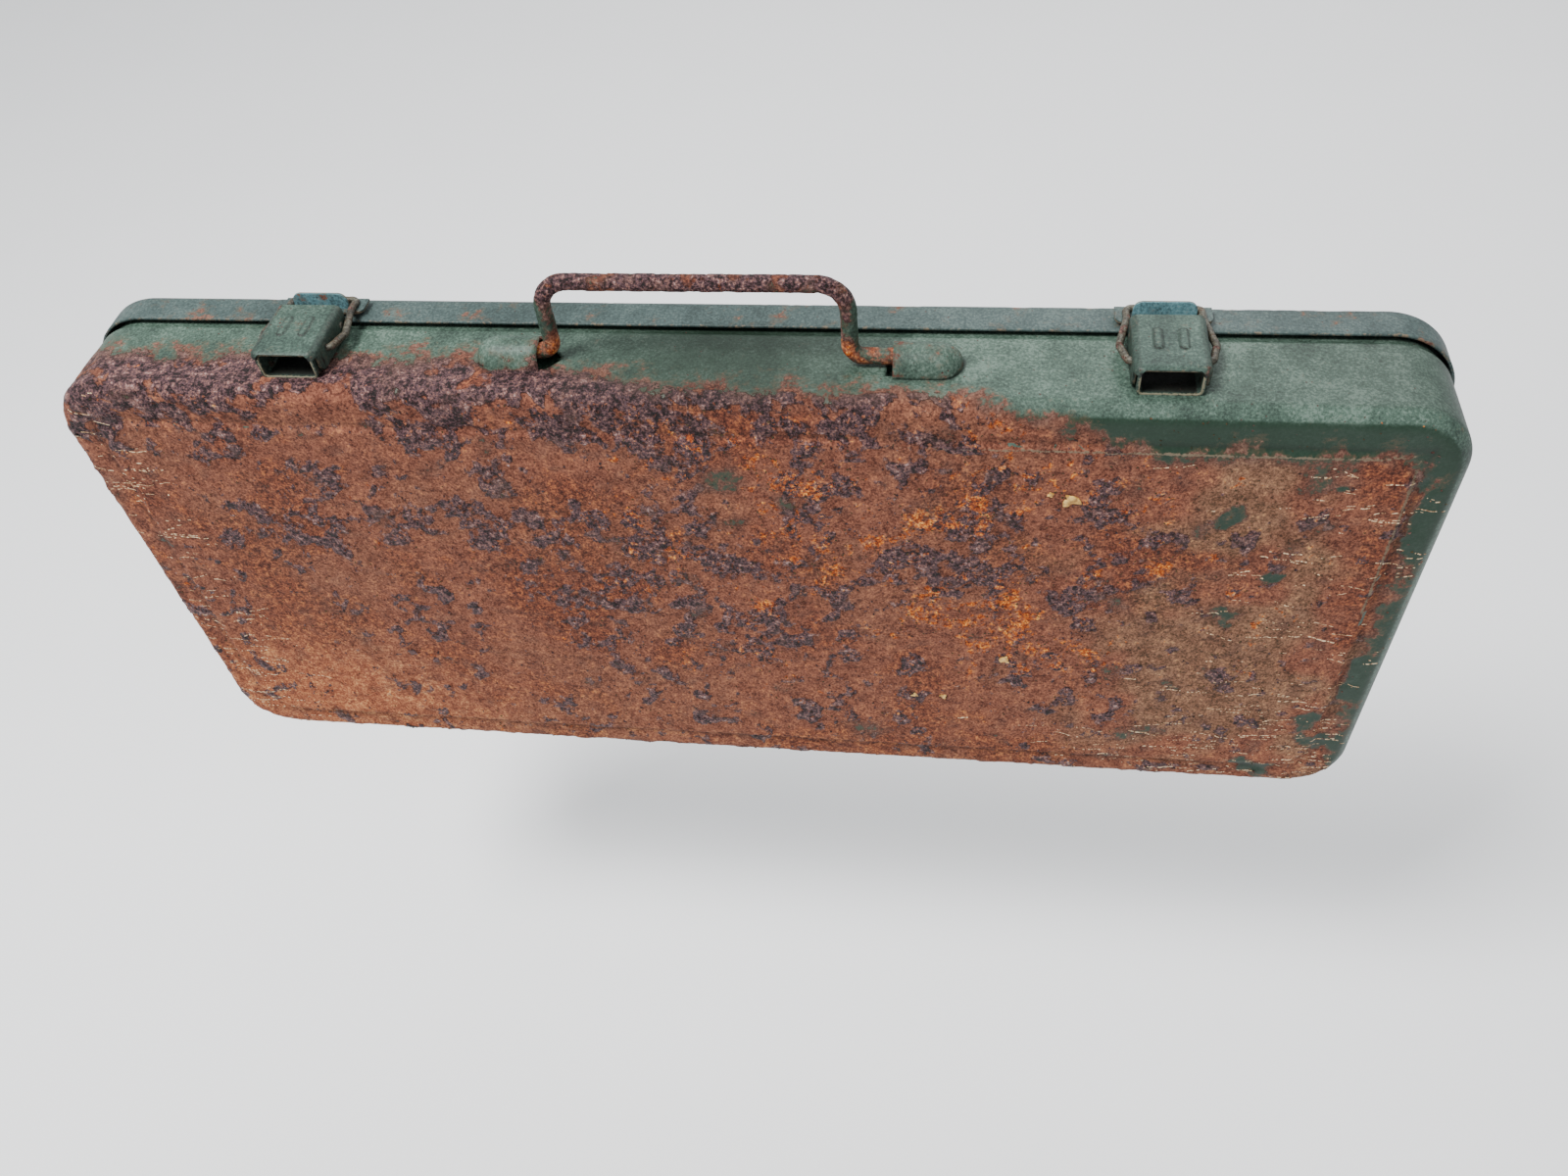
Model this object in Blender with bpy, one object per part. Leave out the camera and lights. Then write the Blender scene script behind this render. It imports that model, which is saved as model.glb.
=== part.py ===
"""Flat pressed-steel tool case with a lift-out tray, standing on its hinge edge.

X runs along the length, Z up from the hinge edge to the handle edge, and Y through the depth, with the
deep shell at -Y and the lid at +Y. The origin is the middle of the base. Lengths are in metres.
"""

from math import asin, cos, degrees, pi, radians, sin

import bmesh
import bpy
from mathutils import Vector

MM = 0.001

# ---- overall sizes of the two pressed shells
CASE_LENGTH = 415 * MM
CASE_HEIGHT = 175 * MM
SHELL_DEPTH = 31.5 * MM      # deep shell, from the parting line to its face
LID_DEPTH = 15.0 * MM        # lid, from the parting line to its face
SHEET = 0.9 * MM             # thickness of both shells
CORNER_RADIUS = 20 * MM
SHELL_BEND = 5.5 * MM        # bend from the deep shell's wall to its face
LID_BEND = 4.5 * MM
PANEL_BORDER = 12 * MM       # flat border round the raised panel
PANEL_SLOPE = 2.5 * MM
PANEL_CORNER = 16 * MM       # corner radius of the panel's foot
PANEL_RISE = 1.2 * MM
RIM_GAP = 1.5 * MM           # dark line left open between the two rims
LID_PROUD = 1.2 * MM         # how far the lid's wall stands outside the deep shell's
LIP_STEP = 1.2 * MM          # joggle of the deep shell's rim, which nests inside the lid
LIP_LENGTH = 4.5 * MM
TOUCH_GAP = 0.3 * MM         # between pieces that touch

# ---- carrying handle and its pockets
HANDLE_WIRE = 5.0 * MM
HANDLE_LEG_SPAN = 86.7 * MM  # between the middles of the two legs
HANDLE_SHIFT = -4.0 * MM     # it rests pushed over to the left
HANDLE_RISE = 24.0 * MM      # grip above its pivot
HANDLE_TOP_BEND = 8.5 * MM
HANDLE_FOOT_BEND = 4.0 * MM
HANDLE_FOOT = 16.5 * MM      # length of each foot, from the middle of its leg
HANDLE_Y = -13.6 * MM        # pivot line, from the parting line
POCKET_MOUTH = 51.5 * MM     # mouth of each pocket, from the middle of the case
POCKET_LENGTH = 19.5 * MM
POCKET_HALF_WIDTH = 6.0 * MM
POCKET_NOSE_TURN = 84        # degrees of the nose's curve, which leaves a small flat at its tip
POCKET_PLAY = 0.3 * MM       # between the wire and the roof of its pocket
WIRE_OVER_WALL = 0.5 * MM    # between the wire and the wall below it
LANCE_RELIEF = 1.2 * MM      # slit in the wall in front of each mouth

# ---- draw latches: y is measured from the parting line, z from the top wall
LATCH_X = 126.2 * MM
LATCH_SHEET = 0.9 * MM
BRACKET_WIDTH = 16.0 * MM
BRACKET_FRONT = -24.5 * MM
BRACKET_EAR = 2.4 * MM       # radius of the bracket's ears about the pivot
BRACKET_HEIGHT = 7.0 * MM
LEVER_FRONT = -24.4 * MM
LEVER_BACK = -1.6 * MM
LEVER_TOP = 8.3 * MM
LEVER_SIDE_PLAY = 0.4 * MM
LEVER_CORNER = 2.6 * MM
LEVER_HEEL = 3.7 * MM        # radius of the flanges about the pivot
LEVER_FLANGE_FRONT = -23.0 * MM
LEVER_RIB_SPACING = 6.8 * MM
LEVER_RIB_LENGTH = 8.5 * MM
LEVER_RIB_WIDTH = 2.0 * MM
LEVER_RIB_RISE = 0.4 * MM
LEVER_RIB_Y = -12.0 * MM
PIVOT_Y = -5.2 * MM
PIVOT_Z = 4.6 * MM
PIVOT_RADIUS = 1.0 * MM
PIVOT_HEAD_RADIUS = 1.8 * MM
PIVOT_HEAD = 0.7 * MM
BAIL_WIRE = 2.2 * MM
BAIL_Y = -16.6 * MM          # where the bail enters the lever's flanges
BAIL_Z = 5.2 * MM
BAIL_SPREAD = 3.7 * MM       # how far the middle of the bail's wire bulges past the lever's side
BAIL_STANDOFF = 1.9 * MM     # where it leaves the flange
BAIL_BULGE_Y = -9.0 * MM
BAIL_BACK_CLEAR = 0.5 * MM   # beside the tongue
BAIL_BULGE_DROP = 0.8 * MM   # the wire sinks this much on its way to the bulge
BAIL_KNEE_RISE = 0.5 * MM    # and it meets the strike this much above its crossbar
BAIL_FOOT_BEND = 1.5 * MM
BAIL_SIDE_BEND = 3.5 * MM
BAIL_BACK_BEND = 1.8 * MM
STRIKE_SHOULDER = 4.7 * MM   # base plate beyond each side of the tongue
STRIKE_FRONT = 3.0 * MM
STRIKE_BACK = 10.0 * MM
STRIKE_CORNER = 2.5 * MM
TONGUE_INSET = 0.5 * MM      # each side of the tongue inside the lever's sides
TONGUE_Y = 6.0 * MM
TONGUE_TOP = 8.2 * MM
TONGUE_LEAN = 0.6 * MM
TONGUE_CORNER = 2.0 * MM

# ---- hinges on the bottom edge
HINGE_X = 126.0 * MM
HINGE_LENGTH = 36.0 * MM
HINGE_SHEET = 0.8 * MM
HINGE_CASE_LEAF = 12.5 * MM  # reach of the leaf from the hinge's axis
HINGE_LID_LEAF = 9.3 * MM
HINGE_DROP = 1.5 * MM        # axis below the deep shell's bottom wall
KNUCKLE_RADIUS = 1.7 * MM
HINGE_PIN_RADIUS = 0.8 * MM
RIVET_SPACING = 20.0 * MM
RIVET_REACH = 0.64           # share of a leaf's reach at which its rivets stand
RIVET_SHANK = 1.1 * MM
RIVET_HEAD_RADIUS = 1.9 * MM
RIVET_HEAD = 0.55 * MM

# ---- tray and what holds it
TRAY_SHEET = 0.8 * MM
TRAY_DEPTH = 15.7 * MM
TRAY_RIM_Y = 1.0 * MM        # top of the tray's rim, from the parting line
TRAY_RIM_WIDTH = 2.0 * MM
TRAY_SIDE_PLAY = 0.8 * MM
TRAY_BEND = 3.0 * MM
RAIL_SHEET = 1.0 * MM
RAIL_LEDGE = 10.0 * MM
RAIL_LEG = 9.0 * MM
RAIL_END_CLEAR = 10.0 * MM   # from the end of a rail to the shell's corner
DIVIDER_HEIGHT = 11.0 * MM
DIVIDER_FOOT = 6.0 * MM
LOW_ROW_HEIGHT = 91.0 * MM   # compartments below the long divider
CROSS_DIVIDERS = ((-143 * MM, False), (119 * MM, False), (16 * MM, True))  # x, above the long one
PULL_WIRE = 3.0 * MM
PULL_LENGTH = 44.0 * MM
PULL_HEIGHT = 10.0 * MM
PULL_BEND = 4.0 * MM

CORNER_STEPS = 7
BEND_STEPS = 4
NOSE_STEPS = 5
SHARP_DEGREES = 35           # edges sharper than this stay sharp in a smooth piece

# ---- places worked out from the sizes above
BASE_Z = HINGE_DROP + KNUCKLE_RADIUS                       # bottom wall of the deep shell
TOP_Z = BASE_Z + CASE_HEIGHT
PARTING_Y = (SHELL_DEPTH - LID_DEPTH) / 2                  # centres the case on the origin
HALF_LENGTH = CASE_LENGTH / 2
HINGE_Y = PARTING_Y + RIM_GAP / 2
HINGE_Z = BASE_Z - HINGE_DROP
HANDLE_Z = TOP_Z + WIRE_OVER_WALL + HANDLE_WIRE / 2
POCKET_HEIGHT = WIRE_OVER_WALL + HANDLE_WIRE + POCKET_PLAY + SHEET
LEVER_HALF = BRACKET_WIDTH / 2 + LEVER_SIDE_PLAY + LATCH_SHEET
TONGUE_HALF = LEVER_HALF - TONGUE_INSET
STRIKE_HALF = TONGUE_HALF + STRIKE_SHOULDER
STRIKE_BASE = LID_PROUD + TOUCH_GAP
CROSSBAR_Y = TONGUE_Y + LATCH_SHEET / 2 + TONGUE_LEAN + TOUCH_GAP + BAIL_WIRE / 2
CROSSBAR_Z = STRIKE_BASE + LATCH_SHEET + TOUCH_GAP + BAIL_WIRE / 2
TRAY_RIM_INSET = LIP_STEP + SHEET + TRAY_SIDE_PLAY
TRAY_WALL_INSET = TRAY_RIM_INSET + TRAY_RIM_WIDTH
TRAY_FLOOR_Y = TRAY_RIM_Y - TRAY_DEPTH                     # under side of the floor


# ---------------------------------------------------------------- shapes as (points, faces)

def arc(centre, radius, start, end, steps):
    """Points on an arc in the plane of the centre's two coordinates, angles in degrees."""
    turn = [radians(start + (end - start) * i / steps) for i in range(steps + 1)]
    return [(centre[0] + radius * cos(a), centre[1] + radius * sin(a)) for a in turn]


def rounded_outline(half_length, bottom, top, radius, steps=CORNER_STEPS):
    """A rounded rectangle in X and Z, centred on x = 0."""
    right, high, low = half_length - radius, top - radius, bottom + radius
    return (
        arc((right, high), radius, 0, 90, steps)
        + arc((-right, high), radius, 90, 180, steps)
        + arc((-right, low), radius, 180, 270, steps)
        + arc((right, low), radius, 270, 360, steps)
    )


def case_outline(inset, radius=None):
    """The deep shell's outline, moved inwards by inset."""
    if radius is None:
        radius = CORNER_RADIUS - inset
    return rounded_outline(HALF_LENGTH - inset, BASE_Z + inset, TOP_Z - inset, radius)


def joined_rings(rings):
    """A closed shape through rings with the same number of points, capped at both ends."""
    size = len(rings[0])
    points = [point for ring in rings for point in ring]
    faces = [list(range(size)), list(range((len(rings) - 1) * size, len(rings) * size))]
    for ring in range(len(rings) - 1):
        for i in range(size):
            j = (i + 1) % size
            faces.append([ring * size + i, ring * size + j, (ring + 1) * size + j, (ring + 1) * size + i])
    return points, faces


def pressing(profile):
    """A sheet pressed to the case's outline: the profile lists (inset, y) from one cap to the other,
    with a corner radius after them where it isn't the one that keeps the corners concentric."""
    return joined_rings([
        [(x, y, z) for x, z in case_outline(inset, *corner)] for inset, y, *corner in profile
    ])


def prism(outline, axis, low, high):
    """An outline in the two other axes, in X, Y, Z order, extruded along axis from low to high."""
    place = "XYZ".index(axis)
    return joined_rings([
        [tuple(point[:place]) + (level,) + tuple(point[place:]) for point in outline]
        for level in (low, high)
    ])


def box(low, high):
    outline = [(low[0], low[1]), (high[0], low[1]), (high[0], high[1]), (low[0], high[1])]
    return prism(outline, "Z", low[2], high[2])


def turned(profile, axis, centre, steps):
    """A profile of (distance along axis, radius) turned about the axis through centre."""
    place = "XYZ".index(axis)
    rings = []
    for along, radius in profile:
        ring = []
        for u, v in arc((0, 0), radius, 0, 360 * (steps - 1) / steps, steps - 1):
            point = [u, v]
            point.insert(place, along)
            ring.append(tuple(Vector(point) + Vector(centre)))
        rings.append(ring)
    return joined_rings(rings)


def rod(axis, centre, radius, low, high, steps=16):
    return turned([(low, radius), (high, radius)], axis, centre, steps)


def bent_route(corners, bends, steps):
    """The route of a wire through corners, with each inner corner bent to its radius."""
    corners = [Vector(corner) for corner in corners]
    route = [corners[0]]
    for i, radius in enumerate(bends, 1):
        corner = corners[i]
        before = (corners[i - 1] - corner).normalized()
        after = (corners[i + 1] - corner).normalized()
        half = before.angle(after) / 2
        middle = corner + (before + after).normalized() * (radius / sin(half))
        first = corner + before * (radius * cos(half) / sin(half)) - middle
        last = corner + after * (radius * cos(half) / sin(half)) - middle
        sweep = first.angle(last)
        for step in range(steps + 1):
            share = step / steps
            arm = first * sin((1 - share) * sweep) + last * sin(share * sweep)
            route.append(middle + arm / sin(sweep))
    return route + [corners[-1]]


def wire(route, diameter, sides):
    """A round wire along a route, with flat ends."""
    heading = (route[1] - route[0]).normalized()
    side = heading.orthogonal().normalized()
    rings = []
    for i, point in enumerate(route):
        before = (point - route[i - 1]).normalized() if i else heading
        after = (route[i + 1] - point).normalized() if i + 1 < len(route) else before
        heading = (before + after).normalized()
        side = (side - heading * side.dot(heading)).normalized()
        other = heading.cross(side)
        widen = 1 / max(before.dot(heading), 0.5)
        outward = before - after
        ring = []
        for j in range(sides):
            spoke = side * cos(2 * pi * j / sides) + other * sin(2 * pi * j / sides)
            if outward.length > 1e-6:
                across = outward.normalized()
                spoke = spoke + across * (spoke.dot(across) * (widen - 1))
            ring.append(tuple(point + spoke * (diameter / 2)))
        rings.append(ring)
    return joined_rings(rings)


# ---------------------------------------------------------------- objects

def paint(name, colour, roughness, metallic):
    material = bpy.data.materials.new(name)
    material.use_nodes = True
    shader = material.node_tree.nodes["Principled BSDF"]
    shader.inputs["Base Color"].default_value = (*colour, 1)
    shader.inputs["Roughness"].default_value = roughness
    shader.inputs["Metallic"].default_value = metallic
    return material


def add(name, shape, material=None, origin=(0, 0, 0), parent=None, folded=False):
    """A mesh object from (points, faces) in world space, with its origin where it is asked for.

    Round pieces are shaded smooth and pieces folded from flat sheet are shaded flat.
    """
    mesh = bpy.data.meshes.new(name)
    mesh.from_pydata([tuple(Vector(point) - Vector(origin)) for point in shape[0]], [], shape[1])
    work = bmesh.new()
    work.from_mesh(mesh)
    bmesh.ops.recalc_face_normals(work, faces=work.faces)
    work.to_mesh(mesh)
    work.free()
    if folded:
        mesh.shade_flat()
    else:
        mesh.shade_smooth()
        mesh.set_sharp_from_angle(angle=radians(SHARP_DEGREES))
    piece = bpy.data.objects.new(name, mesh)
    bpy.context.scene.collection.objects.link(piece)
    piece.location = origin
    if parent:
        piece.parent = parent
        piece.location = Vector(origin) - parent.location
    if material:
        mesh.materials.append(material)
    return piece


def helper(name, shape, folded):
    """A shape used only by a Boolean."""
    piece = add(name, shape, folded=folded)
    piece.hide_render = True
    piece.display_type = "WIRE"
    return piece


def combine(piece, operation, name, shape):
    modifier = piece.modifiers.new(name, "BOOLEAN")
    modifier.object = helper(piece.name + "_" + name, shape, not piece.data.polygons[0].use_smooth)
    modifier.operation = operation
    modifier.solver = "EXACT"


def pivot(name, place):
    empty = bpy.data.objects.new(name, None)
    empty.empty_display_size = 10 * MM
    empty.location = place
    bpy.context.scene.collection.objects.link(empty)
    return empty


# ---------------------------------------------------------------- pressed shells

def sheet_profile(face, out, bend, reach, rim):
    """(inset, y) down a pressing from its panel to its rim: first the outside, then the inside.

    face is the y of the border, out is -1 for a face towards -Y and 1 for one towards +Y, reach is
    the inset of the wall's outside, and rim lists the (inset, y) points past the bend.
    """
    panel = reach + PANEL_BORDER
    top = panel + PANEL_SLOPE
    outside = [(top, face + out * PANEL_RISE, PANEL_CORNER - PANEL_SLOPE), (panel, face, PANEL_CORNER)]
    inside = [(inset, y - out * SHEET, radius) for inset, y, radius in outside]
    for step in range(BEND_STEPS + 1):
        turn = pi / 2 * step / BEND_STEPS
        outside.append((reach + bend * (1 - sin(turn)), face - out * bend * (1 - cos(turn))))
        inner = bend - SHEET
        inside.append((
            reach + bend - inner * sin(turn), face - out * (bend - inner * cos(turn))
        ))
    outer_rim = [(inset, y) for inset, y in rim]
    inner_rim = [(inset + SHEET, y) for inset, y in rim]
    return outside + outer_rim + inner_rim[::-1] + inside[::-1]


def hinge_rivet_places(side, reach):
    """(x, y) of the two rivets of a leaf whose far edge is at reach from the hinge's axis."""
    y = HINGE_Y + reach * RIVET_REACH
    return [(side * HINGE_X - RIVET_SPACING / 2, y), (side * HINGE_X + RIVET_SPACING / 2, y)]


def rivet_holes(piece, places, low, high):
    for i, (x, y) in enumerate(places):
        hole = rod("Z", (x, y, 0), RIVET_SHANK + TOUCH_GAP, low, high, 12)
        combine(piece, "DIFFERENCE", f"rivet_hole_{i}", hole)


def pocket(side, inset, mouth, floor):
    """The bullet-shaped bulge over a handle foot, or with an inset the hollow inside it."""
    width, height = POCKET_HALF_WIDTH - inset, POCKET_HEIGHT - inset
    tip = POCKET_MOUTH + POCKET_LENGTH - inset
    nose = POCKET_HALF_WIDTH
    stations = [(mouth, 1.0)]
    for along, share in arc((tip - nose, 0), 1, 90, 90 - POCKET_NOSE_TURN, NOSE_STEPS):
        stations.append((tip - nose + (along - tip + nose) * nose, share))
    rings = []
    for x, share in stations:
        half = arc((0, 0), 1, 0, 180, 12)
        ring = [(side * x, PARTING_Y + HANDLE_Y + width * share * u, TOP_Z + height * share * v)
                for u, v in half]
        ring.append((side * x, PARTING_Y + HANDLE_Y - width * share, TOP_Z - floor))
        ring.append((side * x, PARTING_Y + HANDLE_Y + width * share, TOP_Z - floor))
        rings.append(ring)
    return joined_rings(rings)


def make_deep_shell(material):
    rim = [
        (0, PARTING_Y - LIP_STEP),
        (LIP_STEP, PARTING_Y),
        (LIP_STEP, PARTING_Y + LIP_LENGTH),
    ]
    profile = sheet_profile(PARTING_Y - SHELL_DEPTH, -1, SHELL_BEND, 0, rim)
    shell = add("deep_shell", pressing(profile), material)
    for side, word in ((-1, "left"), (1, "right")):
        combine(shell, "UNION", f"pocket_{word}", pocket(side, 0, POCKET_MOUTH, SHEET / 2))
        hollow = pocket(side, SHEET, POCKET_MOUTH - LANCE_RELIEF, 2 * SHEET)
        combine(shell, "DIFFERENCE", f"hollow_{word}", hollow)
    places = hinge_rivet_places(-1, -HINGE_CASE_LEAF) + hinge_rivet_places(1, -HINGE_CASE_LEAF)
    rivet_holes(shell, places, BASE_Z - SHEET, BASE_Z + 2 * SHEET)


def make_lid_shell(material, lid):
    profile = sheet_profile(PARTING_Y + LID_DEPTH, 1, LID_BEND, -LID_PROUD,
                            [(-LID_PROUD, PARTING_Y + RIM_GAP)])
    shell = add("lid_shell", pressing(profile), material, (0, HINGE_Y, HINGE_Z), lid)
    for side in (-1, 1):
        clear = KNUCKLE_RADIUS + TOUCH_GAP
        notch = box(
            (side * HINGE_X - HINGE_LENGTH / 2 - TOUCH_GAP, HINGE_Y - clear, BASE_Z - 3 * SHEET),
            (side * HINGE_X + HINGE_LENGTH / 2 + TOUCH_GAP, HINGE_Y + clear, BASE_Z + SHEET / 2),
        )
        combine(shell, "DIFFERENCE", f"hinge_notch_{side + 1}", notch)
    places = hinge_rivet_places(-1, HINGE_LID_LEAF) + hinge_rivet_places(1, HINGE_LID_LEAF)
    rivet_holes(shell, places, BASE_Z - 3 * SHEET, BASE_Z + SHEET)


# ---------------------------------------------------------------- handle

def make_handle(material):
    y = PARTING_Y + HANDLE_Y
    left, right = HANDLE_SHIFT - HANDLE_LEG_SPAN / 2, HANDLE_SHIFT + HANDLE_LEG_SPAN / 2
    top = HANDLE_Z + HANDLE_RISE
    corners = [
        (left - HANDLE_FOOT, y, HANDLE_Z),
        (left, y, HANDLE_Z),
        (left, y, top),
        (right, y, top),
        (right, y, HANDLE_Z),
        (right + HANDLE_FOOT, y, HANDLE_Z),
    ]
    bends = [HANDLE_FOOT_BEND, HANDLE_TOP_BEND, HANDLE_TOP_BEND, HANDLE_FOOT_BEND]
    route = bent_route(corners, bends, 6)
    add("handle", wire(route, HANDLE_WIRE, 12), material, (HANDLE_SHIFT, y, HANDLE_Z))


# ---------------------------------------------------------------- draw latches

def make_bracket(name, x, material):
    """U-channel with its floor on the top wall, open towards -Y."""
    ear = (PARTING_Y + PIVOT_Y, TOP_Z + PIVOT_Z)
    front, back = PARTING_Y + BRACKET_FRONT, ear[0] + BRACKET_EAR
    low, high = TOP_Z + TOUCH_GAP, TOP_Z + BRACKET_HEIGHT
    half = BRACKET_WIDTH / 2
    side_outline = [(back, low), (front, low), (front, high)] + arc(ear, BRACKET_EAR, 90, 0, 5)
    bracket = add(name, prism(side_outline, "X", x - half, x + half), material, folded=True)
    channel = box(
        (x - half + LATCH_SHEET, front - LATCH_SHEET, low + LATCH_SHEET),
        (x + half - LATCH_SHEET, back + LATCH_SHEET, high + LATCH_SHEET),
    )
    combine(bracket, "DIFFERENCE", "channel", channel)
    hole = rod("X", (x, *ear), PIVOT_RADIUS + TOUCH_GAP, -BRACKET_WIDTH, BRACKET_WIDTH)
    combine(bracket, "DIFFERENCE", "pin_hole", hole)


def make_lever(name, x, material):
    """Cap over the bracket: a ribbed plate with a flange down each side."""
    axis = (PARTING_Y + PIVOT_Y, TOP_Z + PIVOT_Z)
    top = TOP_Z + LEVER_TOP
    front, back = PARTING_Y + LEVER_FLANGE_FRONT, PARTING_Y + LEVER_BACK
    heel = axis[1] - LEVER_HEEL
    toe = arc((front + LEVER_CORNER, heel + LEVER_CORNER), LEVER_CORNER, 180, 270, 4)
    # The heel meets the plate where its arc has turned up to the plate's back edge.
    rise = degrees_up(back - axis[0], LEVER_HEEL)
    flange = [(front, top)] + toe + arc(axis, LEVER_HEEL, -90, rise, 9) + [(back, top)]
    lever = add(name, prism(flange, "X", x - LEVER_HALF, x + LEVER_HALF), material,
                (x, axis[0], axis[1]), folded=True)
    inner = LEVER_HALF - LATCH_SHEET
    hollow = box(
        (x - inner, front - LATCH_SHEET, TOP_Z - LATCH_SHEET),
        (x + inner, back + LATCH_SHEET, top - LATCH_SHEET),
    )
    combine(lever, "DIFFERENCE", "hollow", hollow)
    tip, edge = PARTING_Y + LEVER_FRONT, x + LEVER_HALF
    plate = (
        [(edge, back), (2 * x - edge, back)]
        + arc((2 * x - edge + LEVER_CORNER, tip + LEVER_CORNER), LEVER_CORNER, 180, 270, 4)
        + arc((edge - LEVER_CORNER, tip + LEVER_CORNER), LEVER_CORNER, 270, 360, 4)
    )
    combine(lever, "UNION", "plate", prism(plate, "Z", top - LATCH_SHEET, top))
    for i, off in enumerate((-0.5, 0.5)):
        rib_x, rib_y = x + off * LEVER_RIB_SPACING, PARTING_Y + LEVER_RIB_Y
        reach, radius = (LEVER_RIB_LENGTH - LEVER_RIB_WIDTH) / 2, LEVER_RIB_WIDTH / 2
        rib = (arc((rib_x, rib_y + reach), radius, 0, 180, 6)
               + arc((rib_x, rib_y - reach), radius, 180, 360, 6))
        combine(lever, "UNION", f"rib_{i}", prism(rib, "Z", top - LATCH_SHEET / 2, top + LEVER_RIB_RISE))
    pin_hole = rod("X", (x, *axis), PIVOT_RADIUS + TOUCH_GAP, -2 * LEVER_HALF, 2 * LEVER_HALF)
    combine(lever, "DIFFERENCE", "pin_hole", pin_hole)
    bail = (x, PARTING_Y + BAIL_Y, TOP_Z + BAIL_Z)
    bail_hole = rod("X", bail, BAIL_WIRE / 2 + TOUCH_GAP, -2 * LEVER_HALF, 2 * LEVER_HALF)
    combine(lever, "DIFFERENCE", "bail_hole", bail_hole)
    return lever


def degrees_up(across, radius):
    """Angle on a circle at which it is this far across, in degrees, at most a quarter turn."""
    share = min(across / radius, 1)
    return 90 - degrees(asin(share))


def make_bail(name, x, lever, material):
    """Wire loop from the lever's flanges round behind the strike's tongue."""
    y, z = PARTING_Y + BAIL_Y, TOP_Z + BAIL_Z
    end = LEVER_HALF - LATCH_SHEET + TOUCH_GAP / 2
    foot = LEVER_HALF + BAIL_STANDOFF
    back = TONGUE_HALF + BAIL_BACK_CLEAR + BAIL_WIRE / 2
    bar_y, bar_z = PARTING_Y + CROSSBAR_Y, TOP_Z + CROSSBAR_Z
    half = [
        (end, y, z),
        (foot, y, z),
        (LEVER_HALF + BAIL_SPREAD, PARTING_Y + BAIL_BULGE_Y, z - BAIL_BULGE_DROP),
        (back, PARTING_Y + STRIKE_FRONT, bar_z + BAIL_KNEE_RISE),
        (back, bar_y, bar_z),
    ]
    corners = [(x + dx, cy, cz) for dx, cy, cz in half] + [(x - dx, cy, cz) for dx, cy, cz in half[::-1]]
    turns = [BAIL_FOOT_BEND, BAIL_SIDE_BEND, BAIL_SIDE_BEND, BAIL_BACK_BEND]
    route = bent_route(corners, turns + turns[::-1], 4)
    add(name, wire(route, BAIL_WIRE, 10), material, (x, y, z), lever)


def make_latch_pin(name, x, material):
    """Rivet that the lever turns on, headed outside both flanges."""
    inner = LEVER_HALF + TOUCH_GAP
    outer = inner + PIVOT_HEAD
    profile = [
        (-outer, 0.6 * PIVOT_HEAD_RADIUS), (-outer + PIVOT_HEAD / 2, PIVOT_HEAD_RADIUS),
        (-inner, PIVOT_HEAD_RADIUS), (-inner, PIVOT_RADIUS),
        (inner, PIVOT_RADIUS), (inner, PIVOT_HEAD_RADIUS),
        (outer - PIVOT_HEAD / 2, PIVOT_HEAD_RADIUS), (outer, 0.6 * PIVOT_HEAD_RADIUS),
    ]
    add(name, turned(profile, "X", (x, PARTING_Y + PIVOT_Y, TOP_Z + PIVOT_Z), 16), material)


def make_strike(name, x, lid, material):
    """Base plate on the lid's top wall, with a tongue that the bail hooks behind."""
    half, low = STRIKE_HALF, TOP_Z + STRIKE_BASE
    front, back = PARTING_Y + STRIKE_FRONT, PARTING_Y + STRIKE_BACK
    plate = (
        [(x + half, back), (x - half, back)]
        + arc((x - half + STRIKE_CORNER, front + STRIKE_CORNER), STRIKE_CORNER, 180, 270, 4)
        + arc((x + half - STRIKE_CORNER, front + STRIKE_CORNER), STRIKE_CORNER, 270, 360, 4)
    )
    strike = add(name, prism(plate, "Z", low, low + LATCH_SHEET), material,
                 (x, PARTING_Y + TONGUE_Y, low), lid, folded=True)
    wide, top = TONGUE_HALF, TOP_Z + TONGUE_TOP
    face = (
        [(x - wide, low + LATCH_SHEET / 2), (x + wide, low + LATCH_SHEET / 2)]
        + arc((x + wide - TONGUE_CORNER, top - TONGUE_CORNER), TONGUE_CORNER, 0, 90, 4)
        + arc((x - wide + TONGUE_CORNER, top - TONGUE_CORNER), TONGUE_CORNER, 90, 180, 4)
    )
    middle, half_sheet = PARTING_Y + TONGUE_Y, LATCH_SHEET / 2
    points, faces = prism(face, "Y", middle - half_sheet, middle + half_sheet)
    lean = TONGUE_LEAN / (top - low)
    points = [(px, py + lean * (pz - low), pz) for px, py, pz in points]
    combine(strike, "UNION", "tongue", (points, faces))


def make_latch(side, word, lid, materials):
    x = side * LATCH_X
    make_bracket(f"latch_bracket_{word}", x, materials["latch_green"])
    lever = make_lever(f"latch_lever_{word}", x, materials["latch_green"])
    make_bail(f"latch_bail_{word}", x, lever, materials["wire_steel"])
    make_latch_pin(f"latch_pin_{word}", x, materials["wire_steel"])
    make_strike(f"latch_strike_{word}", x, lid, materials["latch_blue"])


# ---------------------------------------------------------------- hinges

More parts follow.
